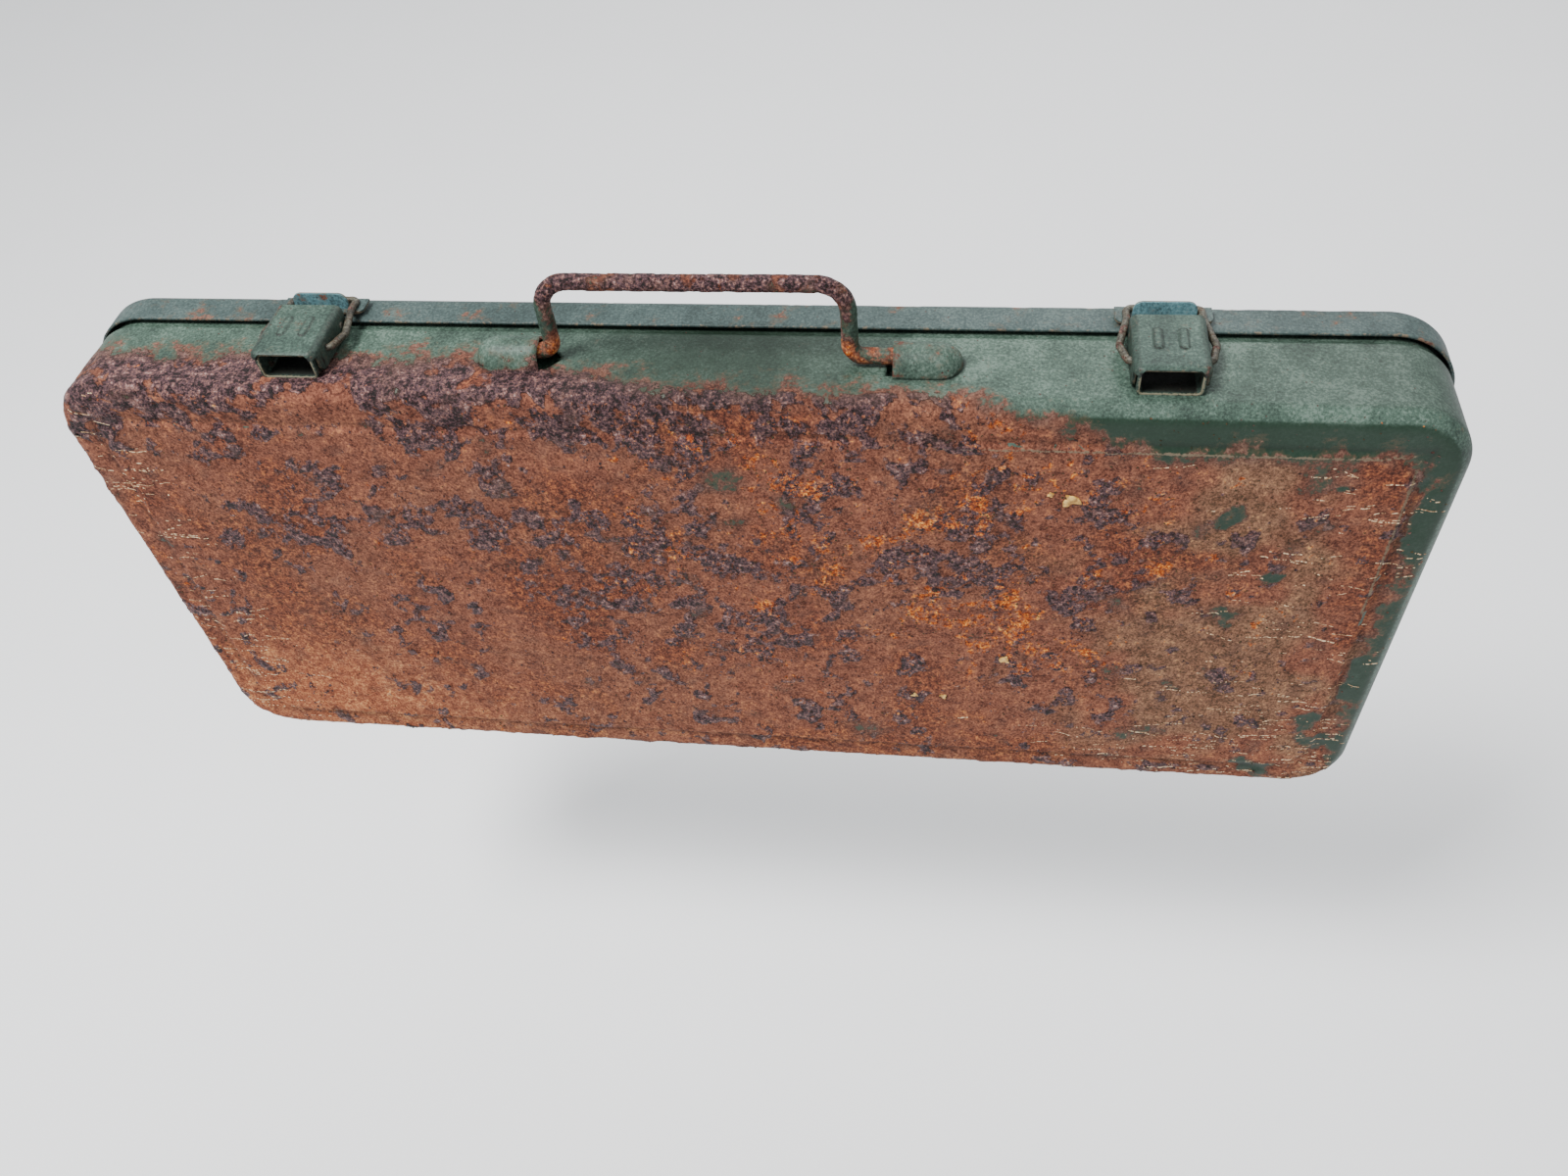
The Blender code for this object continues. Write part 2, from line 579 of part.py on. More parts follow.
def make_leaf(name, x, reach, top, own, material, parent):
    """A leaf under a bottom wall: own lists the (low, high) stretches of knuckle it carries, from x."""
    toward = 1 if reach > 0 else -1
    half = HINGE_LENGTH / 2
    clear = HINGE_Y + toward * (KNUCKLE_RADIUS + TOUCH_GAP)
    far = HINGE_Y + reach
    outline = [(x - half, min(clear, far)), (x + half, min(clear, far)),
               (x + half, max(clear, far)), (x - half, max(clear, far))]
    origin = (x, HINGE_Y, HINGE_Z)
    leaf = add(name, prism(outline, "Z", top - HINGE_SHEET, top), material, origin, parent, folded=True)
    for i, (low, high) in enumerate(own):
        tab = sorted((HINGE_Y + toward * KNUCKLE_RADIUS / 2, clear + toward * HINGE_SHEET))
        neck = box((x + low, tab[0], top - HINGE_SHEET), (x + high, tab[1], top))
        combine(leaf, "UNION", f"neck_{i}", neck)
        knuckle = rod("X", (x, HINGE_Y, HINGE_Z), KNUCKLE_RADIUS, low, high)
        combine(leaf, "UNION", f"knuckle_{i}", knuckle)
    bore = rod("X", origin, HINGE_PIN_RADIUS + TOUCH_GAP, -HINGE_LENGTH, HINGE_LENGTH, 12)
    combine(leaf, "DIFFERENCE", "bore", bore)
    places = [(px, py) for px, py in hinge_rivet_places(1 if x > 0 else -1, reach)]
    rivet_holes(leaf, places, top - 2 * HINGE_SHEET, top + HINGE_SHEET)


def make_rivet(name, place, top, inner, material, origin, parent):
    """Round-headed rivet: top is the upper face of its leaf, inner the inside face of the wall."""
    head = top - HINGE_SHEET - TOUCH_GAP
    tail = inner + TOUCH_GAP
    profile = [
        (head - RIVET_HEAD, 0.5 * RIVET_HEAD_RADIUS), (head - 0.5 * RIVET_HEAD, 0.88 * RIVET_HEAD_RADIUS),
        (head, RIVET_HEAD_RADIUS), (head, RIVET_SHANK),
        (tail, RIVET_SHANK), (tail, RIVET_HEAD_RADIUS), (tail + 0.8 * RIVET_HEAD, 0.7 * RIVET_HEAD_RADIUS),
    ]
    add(name, turned(profile, "Z", (*place, 0), 12), material, origin, parent)


def make_hinge(side, word, lid, materials):
    x, half = side * HINGE_X, HINGE_LENGTH / 2
    knuckle = HINGE_LENGTH / 3 / 2
    outer = [(-half, -knuckle - TOUCH_GAP / 2), (knuckle + TOUCH_GAP / 2, half)]
    middle = [(-knuckle + TOUCH_GAP / 2, knuckle - TOUCH_GAP / 2)]
    case_top = BASE_Z - TOUCH_GAP
    lid_top = BASE_Z - LID_PROUD - TOUCH_GAP
    green, steel = materials["latch_green"], materials["wire_steel"]
    make_leaf(f"hinge_case_leaf_{word}", x, -HINGE_CASE_LEAF, case_top, outer, green, None)
    make_leaf(f"hinge_lid_leaf_{word}", x, HINGE_LID_LEAF, lid_top, middle, green, lid)
    pin = rod("X", (x, HINGE_Y, HINGE_Z), HINGE_PIN_RADIUS, -half - TOUCH_GAP, half + TOUCH_GAP, 12)
    add(f"hinge_pin_{word}", pin, steel, (x, HINGE_Y, HINGE_Z))
    for i, place in enumerate(hinge_rivet_places(side, -HINGE_CASE_LEAF), 1):
        make_rivet(f"hinge_rivet_case_{word}_{i}", place, case_top, BASE_Z + SHEET, steel,
                   (*place, BASE_Z), None)
    for i, place in enumerate(hinge_rivet_places(side, HINGE_LID_LEAF), 1):
        inside = BASE_Z - LID_PROUD + SHEET
        make_rivet(f"hinge_rivet_lid_{word}_{i}", place, lid_top, inside, steel, (*place, BASE_Z), lid)


# ---------------------------------------------------------------- tray

def make_rail(side, word, material):
    """Angle on the inside of a side wall: the tray rests on its ledge."""
    wall = HALF_LENGTH - SHEET - TOUCH_GAP
    ledge = PARTING_Y + TRAY_FLOOR_Y - TOUCH_GAP
    outline = [
        (wall, ledge), (wall - RAIL_LEDGE, ledge), (wall - RAIL_LEDGE, ledge - RAIL_SHEET),
        (wall - RAIL_SHEET, ledge - RAIL_SHEET), (wall - RAIL_SHEET, ledge - RAIL_LEG),
        (wall, ledge - RAIL_LEG),
    ]
    end = CORNER_RADIUS + RAIL_END_CLEAR
    shape = prism([(side * x, y) for x, y in outline], "Z", BASE_Z + end, TOP_Z - end)
    add(f"tray_rail_{word}", shape, material, folded=True)


def make_tray(material):
    rim, floor = PARTING_Y + TRAY_RIM_Y, PARTING_Y + TRAY_FLOOR_Y
    wall, thick = TRAY_WALL_INSET, TRAY_SHEET
    outside, inside = [], []
    for step in range(BEND_STEPS):
        turn = pi / 2 * step / (BEND_STEPS - 1)
        outside.append((wall + TRAY_BEND * (1 - sin(turn)), floor + TRAY_BEND * (1 - cos(turn))))
        inner = TRAY_BEND - thick
        inside.append((wall + TRAY_BEND - inner * sin(turn), floor + TRAY_BEND - inner * cos(turn)))
    edge = [
        (wall, rim - thick), (TRAY_RIM_INSET, rim - thick), (TRAY_RIM_INSET, rim), (wall + thick, rim),
    ]
    return add("tray", pressing(outside + edge + inside[::-1]), material)


def make_dividers(tray, material):
    """Folded strips that stand on the tray's floor."""
    floor = PARTING_Y + TRAY_FLOOR_Y + TRAY_SHEET + TOUCH_GAP
    edge = TRAY_WALL_INSET + TRAY_SHEET + TOUCH_GAP + TRAY_BEND
    low, high = BASE_Z + edge, TOP_Z - edge
    thick = TRAY_SHEET
    split = low + LOW_ROW_HEIGHT
    far = HALF_LENGTH - edge

    def angle(at, toward):
        return [
            (at, floor), (at + toward * DIVIDER_FOOT, floor), (at + toward * DIVIDER_FOOT, floor + thick),
            (at + toward * thick, floor + thick), (at + toward * thick, floor + DIVIDER_HEIGHT),
            (at, floor + DIVIDER_HEIGHT),
        ]

    long_shape = prism([(y, z) for z, y in angle(split, 1)], "X", -far, far)
    add("tray_divider_long", long_shape, material, parent=tray, folded=True)
    for i, (x, above) in enumerate(CROSS_DIVIDERS, 1):
        foot_room = DIVIDER_FOOT + TOUCH_GAP
        span = (split + foot_room, high) if above else (low, split - TOUCH_GAP)
        shape = prism(angle(x, 1), "Z", *span)
        add(f"tray_divider_cross_{i}", shape, material, parent=tray, folded=True)


def make_pull(side, word, tray, material):
    """Wire loop fixed to the inside of an end wall, to lift the tray by."""
    x = side * (HALF_LENGTH - TRAY_WALL_INSET - TRAY_SHEET - TRAY_BEND - PULL_WIRE / 2)
    floor = PARTING_Y + TRAY_FLOOR_Y + TRAY_SHEET + TOUCH_GAP
    low = BASE_Z + TRAY_WALL_INSET + TRAY_SHEET + TRAY_BEND
    middle, half = low + LOW_ROW_HEIGHT / 2, PULL_LENGTH / 2
    corners = [
        (x, floor, middle - half), (x, floor + PULL_HEIGHT, middle - half),
        (x, floor + PULL_HEIGHT, middle + half), (x, floor, middle + half),
    ]
    route = bent_route(corners, [PULL_BEND, PULL_BEND], 5)
    add(f"tray_pull_{word}", wire(route, PULL_WIRE, 10), material, parent=tray)


# ---------------------------------------------------------------- build

def make_case():
    for old in list(bpy.data.objects):
        bpy.data.objects.remove(old)
    materials = {
        "shell_rust": paint("shell_rust", (0.16, 0.06, 0.035), 0.85, 0.0),
        "lid_green": paint("lid_green", (0.11, 0.15, 0.12), 0.65, 0.0),
        "handle_rust": paint("handle_rust", (0.14, 0.06, 0.05), 0.85, 0.0),
        "latch_green": paint("latch_green", (0.13, 0.20, 0.15), 0.6, 0.0),
        "latch_blue": paint("latch_blue", (0.08, 0.16, 0.17), 0.55, 0.0),
        "wire_steel": paint("wire_steel", (0.15, 0.12, 0.10), 0.6, 0.6),
        "tray_green": paint("tray_green", (0.12, 0.19, 0.15), 0.55, 0.0),
    }
    lid = pivot("lid_axis", (0, HINGE_Y, HINGE_Z))
    make_deep_shell(materials["shell_rust"])
    make_lid_shell(materials["lid_green"], lid)
    make_handle(materials["handle_rust"])
    tray = make_tray(materials["tray_green"])
    make_dividers(tray, materials["tray_green"])
    for side, word in ((-1, "left"), (1, "right")):
        make_latch(side, word, lid, materials)
        make_hinge(side, word, lid, materials)
        make_rail(side, word, materials["tray_green"])
        make_pull(side, word, tray, materials["wire_steel"])


make_case()
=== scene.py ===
from math import cos, pi, radians, sin, sqrt

import bmesh
import bpy
import numpy as np
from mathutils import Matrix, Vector, kdtree, noise


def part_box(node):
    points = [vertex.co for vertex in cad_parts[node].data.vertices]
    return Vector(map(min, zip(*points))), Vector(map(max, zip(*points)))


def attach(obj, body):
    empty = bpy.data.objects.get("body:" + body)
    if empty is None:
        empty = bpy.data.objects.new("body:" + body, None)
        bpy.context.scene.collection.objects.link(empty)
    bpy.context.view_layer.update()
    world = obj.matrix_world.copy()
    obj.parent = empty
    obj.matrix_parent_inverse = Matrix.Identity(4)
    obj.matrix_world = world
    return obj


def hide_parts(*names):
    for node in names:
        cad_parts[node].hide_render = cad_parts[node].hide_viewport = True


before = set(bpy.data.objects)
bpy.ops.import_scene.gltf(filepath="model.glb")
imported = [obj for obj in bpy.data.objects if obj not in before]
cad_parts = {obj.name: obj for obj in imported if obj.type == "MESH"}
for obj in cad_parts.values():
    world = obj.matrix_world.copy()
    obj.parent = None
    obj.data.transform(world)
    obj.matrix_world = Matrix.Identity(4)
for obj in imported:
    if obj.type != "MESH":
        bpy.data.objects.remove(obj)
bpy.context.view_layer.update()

# ---------------------------------------------------------------- studio
# A pale floor that runs out past the view, far enough under the case for its lid to open, and a pale
# sky. One lamp stands high in front of the case, to its left, and a weaker and larger one behind it.
# The camera looks down on the case's top edge and its face.
mm = 0.001


def linear(colour):
    """Linear RGBA of an sRGB hex colour."""
    parts = [int(colour[i:i + 2], 16) / 255 for i in (1, 3, 5)]
    return [c / 12.92 if c < 0.04045 else ((c + 0.055) / 1.055) ** 2.4 for c in parts] + [1.0]


def add_node(tree, kind, inputs=None, stops=None, **settings):
    """Adds a node with its settings and gives its first output. Inputs are sockets, values or hex
    colours, and stops are the places and colours of a ramp."""
    new = tree.nodes.new(kind)
    for name, value in settings.items():
        setattr(new, name, value)
    for key, value in (inputs or {}).items():
        if isinstance(value, bpy.types.NodeSocket):
            tree.links.new(value, new.inputs[key])
        else:
            new.inputs[key].default_value = linear(value) if str(value).startswith("#") else value
    for i, (position, colour) in enumerate(stops or []):
        if i > 1:
            new.color_ramp.elements.new(1.0)
        new.color_ramp.elements[i].position = position
        new.color_ramp.elements[i].color = linear(colour)
    return next((socket for socket in new.outputs if socket.enabled), None)


def new_material(name):
    material = bpy.data.materials.new(name)
    material.use_nodes = True
    material.node_tree.nodes.clear()
    return material, material.node_tree


camera = bpy.data.objects.new("camera", bpy.data.cameras.new("camera"))
bpy.context.scene.collection.objects.link(camera)
camera.location = (74.7 * mm, -292.1 * mm, 410.8 * mm)
camera.rotation_euler = (0.722, 0.079, 0.125)
camera.data.sensor_width = 36
camera.data.lens = 29.53
camera.data.clip_start = 0.01
bpy.context.scene.camera = camera

world = bpy.data.worlds.new("pale_sky")
bpy.context.scene.world = world
world.use_nodes = True
world.node_tree.nodes["Background"].inputs["Color"].default_value = linear("#f3f6fa")
world.node_tree.nodes["Background"].inputs["Strength"].default_value = 0.92

for name, place, aim, size, power in (
    ("high_lamp", (-0.45, -0.35, 1.25), (0, 0, 0.15), 0.4, 29),
    ("back_lamp", (0.3, 0.9, 1.0), (0, 0, 0.15), 0.9, 8),
):
    lamp = bpy.data.objects.new(name, bpy.data.lights.new(name, "AREA"))
    bpy.context.scene.collection.objects.link(lamp)
    lamp.data.size = size
    lamp.data.energy = power
    lamp.location = place
    lamp.rotation_euler = (Vector(aim) - Vector(place)).to_track_quat("-Z", "Y").to_euler()


def mesh_piece(name, points, faces, material=None, smooth=True):
    """A mesh object at the origin from points and faces in metres, facing outwards."""
    mesh = bpy.data.meshes.new(name)
    mesh.from_pydata([tuple(point) for point in points], [], faces)
    work = bmesh.new()
    work.from_mesh(mesh)
    bmesh.ops.recalc_face_normals(work, faces=work.faces)
    work.to_mesh(mesh)
    work.free()
    if smooth:
        mesh.shade_smooth()
    piece = bpy.data.objects.new(name, mesh)
    bpy.context.scene.collection.objects.link(piece)
    if material:
        mesh.materials.append(material)
    return piece


# Matt white emulsion on a smooth floor: no shine, and clouds of white too faint to notice.
floor_paint, tree = new_material("matt_white_floor_paint")
place = add_node(tree, "ShaderNodeTexCoord").node.outputs["Object"]
mottle = add_node(tree, "ShaderNodeTexNoise", {"Vector": place, "Scale": 1 / (110 * mm), "Detail": 3.0})
tone = add_node(tree, "ShaderNodeMix", {0: mottle, 6: "#f6f6f6", 7: "#fafafa"}, data_type="RGBA")
surface = add_node(tree, "ShaderNodeBsdfPrincipled", {"Base Color": tone, "Roughness": 0.9})
add_node(tree, "ShaderNodeOutputMaterial", {"Surface": surface})
FLOOR_REACH, FLOOR_Z = 6.0, -190 * mm
corners = [(FLOOR_REACH * a, FLOOR_REACH * b, FLOOR_Z) for a, b in ((-1, -1), (1, -1), (1, 1), (-1, 1))]
floor = mesh_piece("floor", corners, [(0, 1, 2, 3)], floor_paint)

# ---------------------------------------------------------------- deep shell
# The deeper half of the case, pressed from 0.9 mm steel sheet with a raised panel in its face, a
# joggled rim that nests in the lid, and two bullet-shaped pockets lanced out of the top wall for
# the handle. Its green paint is mostly gone from the face, which has rusted in thick flakes.
HALF_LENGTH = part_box("deep_shell")[1].x
BASE_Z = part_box("deep_shell")[0].z
PARTING_Y = 8.25 * mm
TOP_Z = BASE_Z + 175 * mm
CORNER = 20 * mm
SHEET = 0.9 * mm
FACE_Y = PARTING_Y - 31.5 * mm
PANEL_INSET, PANEL_SLOPE, PANEL_RISE, PANEL_CORNER = 12 * mm, 2.5 * mm, 1.2 * mm, 16 * mm
SHELL_BEND = 5.5 * mm
POCKET_Y, POCKET_HALF, POCKET_TALL = PARTING_Y - 13.6 * mm, 6 * mm, 6.7 * mm
POCKET_MOUTH, POCKET_TIP, POCKET_NOSE = 51.5 * mm, 71 * mm, 7 * mm
ALONG, UP = 300, 116  # mesh steps on the long and the short sides


def fade(low, high, value):
    """0 below low, 1 above high, and smooth between them."""
    share = np.clip((np.asarray(value, float) - low) / (high - low), 0, 1)
    return share * share * (3 - 2 * share)


def hump(*spans):
    """1 at a place, dying away from it. Each span is how far off a point is, and how wide the hump is."""
    return np.exp(-sum((away / width) ** 2 for away, width in spans))


def lumps(points, size, octaves, shift=0.0):
    """Fractal noise of about -1 to 1 at each point, whose largest lumps are this size."""
    move = Vector((shift, 1.7 * shift, -shift))
    return np.array([
        noise.fractal(Vector((x, y, z)) / size + move, 0.85, 2.1, octaves) for x, y, z in points
    ])


def outline(half, low, high, radius, along, up):
    """(x, z) round a rounded rectangle, whose sides start and end at the middle of its corners."""
    middle = (low + high) / 2
    flat = (half - radius, (high - low) / 2 - radius)
    ring = []
    for turn in range(4):
        straight, other = flat[turn % 2], flat[1 - turn % 2]
        count = (along, up)[turn % 2]
        reach = straight + radius * pi / 4
        for i in range(count):
            run = reach * (2 * i / count - 1)
            bend = (run - max(-straight, min(straight, run))) / radius
            a = max(-straight, min(straight, run)) + radius * sin(bend)
            b = -other - radius * cos(bend)
            x, z = ((a, b), (-b, a), (-a, -b), (b, -a))[turn]
            ring.append((x, middle + z))
    return ring


def filled(ring, along, up):
    """A grid of points inside a ring, evened out until no square of it folds over."""
    ring = np.array(ring)
    grid = np.zeros((up + 1, along + 1, 2))
    left = ring[[(2 * (along + up) - j) % len(ring) for j in range(up + 1)]]
    right = ring[along:along + up + 1]
    share = np.linspace(0, 1, along + 1)[None, :, None]
    grid[:] = left[:, None] * (1 - share) + right[:, None] * share
    grid[0] = ring[:along + 1]
    grid[-1] = ring[along + up:2 * along + up + 1][::-1]
    for _ in range(500):
        grid[1:-1, 1:-1] = (grid[:-2, 1:-1] + grid[2:, 1:-1] + grid[1:-1, :-2] + grid[1:-1, 2:]) / 4
    return grid


def grid_faces(rows, columns):
    return [(j * columns + i, j * columns + i + 1, (j + 1) * columns + i + 1, (j + 1) * columns + i)
            for j in range(rows - 1) for i in range(columns - 1)]


def tube_faces(rings, sides, start=0):
    """Faces between rings of points, then one across each end."""
    faces = [(start + k * sides + j, start + k * sides + (j + 1) % sides,
              start + (k + 1) * sides + (j + 1) % sides, start + (k + 1) * sides + j)
             for k in range(rings - 1) for j in range(sides)]
    end = start + (rings - 1) * sides
    return faces + [list(range(start, start + sides)), list(range(end, end + sides))]


def bend_profile(wall, bend, face, out, steps):
    """(inset, y) round the bend from a face's border to its wall."""
    turns = [pi / 2 * i / steps for i in range(steps + 1)]
    return [(wall + bend * (1 - sin(t)), face - out * bend * (1 - cos(t))) for t in turns]


def sheet_rings(wall, bend, face, out, rim, fine):
    """(inset, y, corner radius) down one side of a pressed shell, from its panel to its rim."""
    panel, rings = wall + PANEL_INSET, []
    for i in range(5):
        share = i / 4
        rise = (1 - share * share * (3 - 2 * share)) * PANEL_RISE
        inwards = PANEL_SLOPE * (1 - share)
        rings.append((panel + inwards, face + out * rise, PANEL_CORNER - inwards))
    border = 6 if fine else 1
    for i in range(1, border):
        inset = panel + (wall + bend - panel) * i / border
        share = i / border
        rings.append((inset, face, PANEL_CORNER * (1 - share) + (CORNER - inset) * share))
    steps = 8 if fine else 4
    rings += [(inset, y, CORNER - inset) for inset, y in bend_profile(wall, bend, face, out, steps)]
    start, end = rings[-1][1], rim[0][1]
    count = max(1, round(abs(end - start) / (1.45 * mm if fine else 5 * mm)))
    for i in range(1, count):
        rings.append((wall, start + (end - start) * i / count, CORNER - wall))
    return rings + [(inset, y, CORNER - inset) for inset, y in rim]


def set_field(piece, name, values):
    field = piece.data.attributes.get(name) or piece.data.attributes.new(name, "FLOAT", "POINT")
    field.data.foreach_set("value", np.asarray(values, np.float32))


def field_of(piece, name):
    values = np.zeros(len(piece.data.vertices), np.float32)
    piece.data.attributes[name].data.foreach_get("value", values)
    return values


def places_of(piece):
    place = np.zeros(len(piece.data.vertices) * 3)
    piece.data.vertices.foreach_get("co", place)
    return place.reshape(-1, 3)


def pressed_shell(name, outside, inside, relief):
    """A closed pressing from its outer and inner rings. relief gives how far each outer point sinks."""
    rings = outside + inside
    inset, y, radius = rings[0]
    first = filled(outline(HALF_LENGTH - inset, BASE_Z + inset, TOP_Z - inset, radius, ALONG, UP), ALONG, UP)
    points = [(x, y, z) for x, z in first.reshape(-1, 2)]
    wide = ALONG + 1
    faces = grid_faces(UP + 1, wide)
    edge = ([i for i in range(ALONG)] + [j * wide + ALONG for j in range(UP)]
            + [UP * wide + ALONG - i for i in range(ALONG)] + [(UP - j) * wide for j in range(UP)])
    outer = len(points)
    for k, (inset, y, radius) in enumerate(rings[1:], 1):
        start = len(points)
        points += [(x, y, z) for x, z in outline(
            HALF_LENGTH - inset, BASE_Z + inset, TOP_Z - inset, radius, ALONG, UP)]
        ring = list(range(start, len(points)))
        count = len(ring)
        faces += [(edge[i], edge[(i + 1) % count], ring[(i + 1) % count], ring[i]) for i in range(count)]
        edge = ring
        if k == len(outside) - 1:
            outer = len(points)
    faces.append(edge)
    piece = mesh_piece(name, points, faces)
    mesh = piece.data
    mesh.update()
    place = places_of(piece)
    heading = np.array([tuple(vertex.normal) for vertex in mesh.vertices])
    place[:outer] -= heading[:outer] * relief(place[:outer])[:, None]
    mesh.vertices.foreach_set("co", place.ravel())
    set_field(piece, "inner", np.arange(len(place)) >= outer)
    mesh.update()
    return piece


def near_side(points):
    """How far in from each of the case's sides, and how much each side counts, for each point."""
    x, z = points[:, 0], points[:, 2]
    away = np.stack([TOP_Z - z, z - BASE_Z, HALF_LENGTH - x, x + HALF_LENGTH])
    weight = np.exp(-np.clip(away, 0, None) / (7 * mm)) + 1e-9
    return np.clip(away, 0, None).min(0), weight / weight.sum(0)


def paint_edge(points):
    """How far past the edge of the surviving paint each point lies, in metres. Above 0 it has rusted."""
    x = points[:, 0]
    inset, (top, bottom, right, left) = near_side(points)
    down = (PARTING_Y - points[:, 1]) + inset
    # It starts on the top wall at the left, drops over the bend and ends on the face at the right.
    top_edge = 13 * mm + 13 * mm * fade(-75 * mm, 0, x) + 21 * mm * fade(60 * mm, 140 * mm, x)
    edge = top * top_edge + bottom * 15 * mm + right * 38 * mm + left * 16 * mm
    return np.minimum(down - edge, 8 * mm)


def flake_zone(points):
    """Where rust has built up in thick plates: the middle of the face and the bend at the top left."""
    x, z = points[:, 0], points[:, 2]
    centre = hump((x - 5 * mm, 125 * mm), (z - 112 * mm, 52 * mm))
    bend = fade(150 * mm, 170 * mm, z) * (1 - fade(20 * mm, 75 * mm, x))
    low_left = hump((x + 170 * mm, 50 * mm), (z - 32 * mm, 36 * mm))
    right = fade(105 * mm, 150 * mm, x)
    return np.clip(0.25 + 0.75 * centre + 0.85 * bend - 0.75 * low_left - 0.5 * right, 0, 1.2)


def crusted(points):
    """How far each point is on a plate of rust, and on one of the smaller flakes, from 0 to 1."""
    zone = flake_zone(points)
    plates = fade(-0.02, 0.14, lumps(points, 10 * mm, 5) + 0.55 * zone - 0.35)
    return plates, fade(0.0, 0.12, lumps(points, 4.5 * mm, 4, 3.1) + 0.3 * zone - 0.2)


def deep_relief(points):
    """Sinking of the deep shell's outside: rust plates stand over pits, and paint stays smooth."""
    rusted = fade(-3 * mm, 3 * mm, paint_edge(points))
    plates, chips = crusted(points)
    pits = fade(0.12, 0.45, lumps(points, 3 * mm, 3, 7.7))
    grain = lumps(points, 2.6 * mm, 2, 1.3)
    on_face = fade(-19 * mm, -21 * mm, points[:, 1])
    face = 0.58 - 0.30 * plates - 0.16 * chips + 0.22 * pits + 0.08 * grain
    wall = 0.12 - 0.26 * plates + 0.16 * pits + 0.09 * grain
    dents = np.clip(0.12 * lumps(points, 70 * mm, 1, 5.0), 0, 1)
    return mm * (on_face * np.clip(rusted * face + (1 - rusted) * 0.38 + dents, 0.02, 0.8)
                 + (1 - on_face) * np.clip(rusted * wall + (1 - rusted) * 0.04, -0.14, 0.4))


LIP = [(inset * mm, PARTING_Y + y * mm) for inset, y in (
    (0, -1.6), (0.15, -0.9), (0.6, -0.4), (1.05, 0.1), (1.2, 0.8), (1.2, 2.6), (1.2, 4.3), (1.35, 4.5))]
outside = sheet_rings(0, SHELL_BEND, FACE_Y, -1, LIP, True)
lip_rings = sheet_rings(0, SHELL_BEND, FACE_Y, -1, LIP, False)[-len(LIP):]
inside = [(inset + (SHEET - 0.3 * mm if i == len(LIP) - 1 else SHEET), y, radius - SHEET)
          for i, (inset, y, radius) in enumerate(lip_rings)][::-1]
inner_rings = sheet_rings(SHEET, SHELL_BEND - SHEET, FACE_Y + SHEET, -1, [(SHEET, LIP[0][1])], False)
inner_rings = [(inset if inset < 11 * mm else inset - SHEET, y, radius) for inset, y, radius in inner_rings]
inside += inner_rings[::-1][1:]
deep_shell = pressed_shell("deep_shell_pressing", outside, inside, deep_relief)


def pocket_shape(name, inset, mouths, floor):
    """Both bullet-shaped bulges over the handle's feet, or with an inset the hollows inside them."""
    tip, half, height = POCKET_TIP - inset, POCKET_HALF - inset, POCKET_TALL - inset
    points, faces = [], []
    for side in (-1, 1):
        stations = [(mouths + (tip - POCKET_NOSE - mouths) * i / 8, 1.0) for i in range(8)]
        if inset and side < 0:
            stations.insert(0, (mouths - 3.6 * mm, 0.15))
        stations += [(tip - POCKET_NOSE + POCKET_NOSE * sin(radians(a)), cos(radians(a)))
                     for a in range(0, 85, 7)]
        start = len(points)
        for x, share in stations:
            for j in range(25):
                a = pi * j / 24
                flare = 1 + 0.10 * (1 - sin(a)) ** 3 * (1 if inset == 0 else 0)
                points.append((side * x, POCKET_Y + half * share * cos(a) * flare,
                               TOP_Z + height * share ** 0.8 * sin(a)))
            points += [(side * x, POCKET_Y + half * share * way, TOP_Z - floor) for way in (-1, 1)]
        faces += tube_faces(len(stations), 27, start)
    return mesh_piece(name, points, faces)


def bake(piece):
    """Replaces a piece's mesh by what its modifiers make of it."""
    bpy.context.view_layer.update()
    made = bpy.data.meshes.new_from_object(piece.evaluated_get(bpy.context.evaluated_depsgraph_get()))
    piece.modifiers.clear()
    piece.data = made


def cut_or_join(piece, other, operation):
    """Applies one Boolean with another piece, which is then removed."""
    modifier = piece.modifiers.new("join", "BOOLEAN")
    modifier.object, modifier.operation, modifier.solver = other, operation, "MANIFOLD"
    bake(piece)
    bpy.data.objects.remove(other)


cut_or_join(deep_shell, pocket_shape("pockets", 0, POCKET_MOUTH, SHEET / 2), "UNION")
cut_or_join(deep_shell, pocket_shape("hollows", SHEET, 49.6 * mm, 2 * SHEET), "DIFFERENCE")


points = places_of(deep_shell)
outer = field_of(deep_shell, "inner") < 0.5
x, y, z = points.T
past = paint_edge(points)
inset = near_side(points)[0]
plates, chips = crusted(points)
ragged = lumps(points, 9 * mm, 5, 2.0)
patches = lumps(points, 22 * mm, 4, 9.0)
rust = 0.5 + past / (15 * mm) + 0.4 * ragged
# Green still shows in patches near the right edge of the face and in a few other spots.
right_spots = fade(0.30, 0.50, patches) * fade(90 * mm, 170 * mm, x) * (y < FACE_Y + 3 * mm)
spots = sum(np.exp(-((x - a * mm) ** 2 + ((z - b * mm) * 1.2) ** 2) / (r * mm) ** 2)
            for a, b, r in ((-2, 149, 7), (39, 25, 7), (170, 152, 5), (120, 100, 6), (20, 140, 4)))
rust -= 0.75 * right_spots + 0.62 * np.minimum(spots, 1) * (y < FACE_Y + 3 * mm)
border_right = (fade(13 * mm, 9 * mm, HALF_LENGTH - x)
                * fade(-0.1, 0.25, lumps(points, 20 * mm, 4, 4.0) - 0.04))
rust -= 0.9 * border_right * fade(20 * mm, 50 * mm, z)
bulge = fade(0.4 * mm, 1.0 * mm, z - TOP_Z)
mouth = fade(4 * mm, 0.5 * mm, np.abs(x) - POCKET_MOUTH)
seam = fade(2.2 * mm, 0.6 * mm, z - TOP_Z)
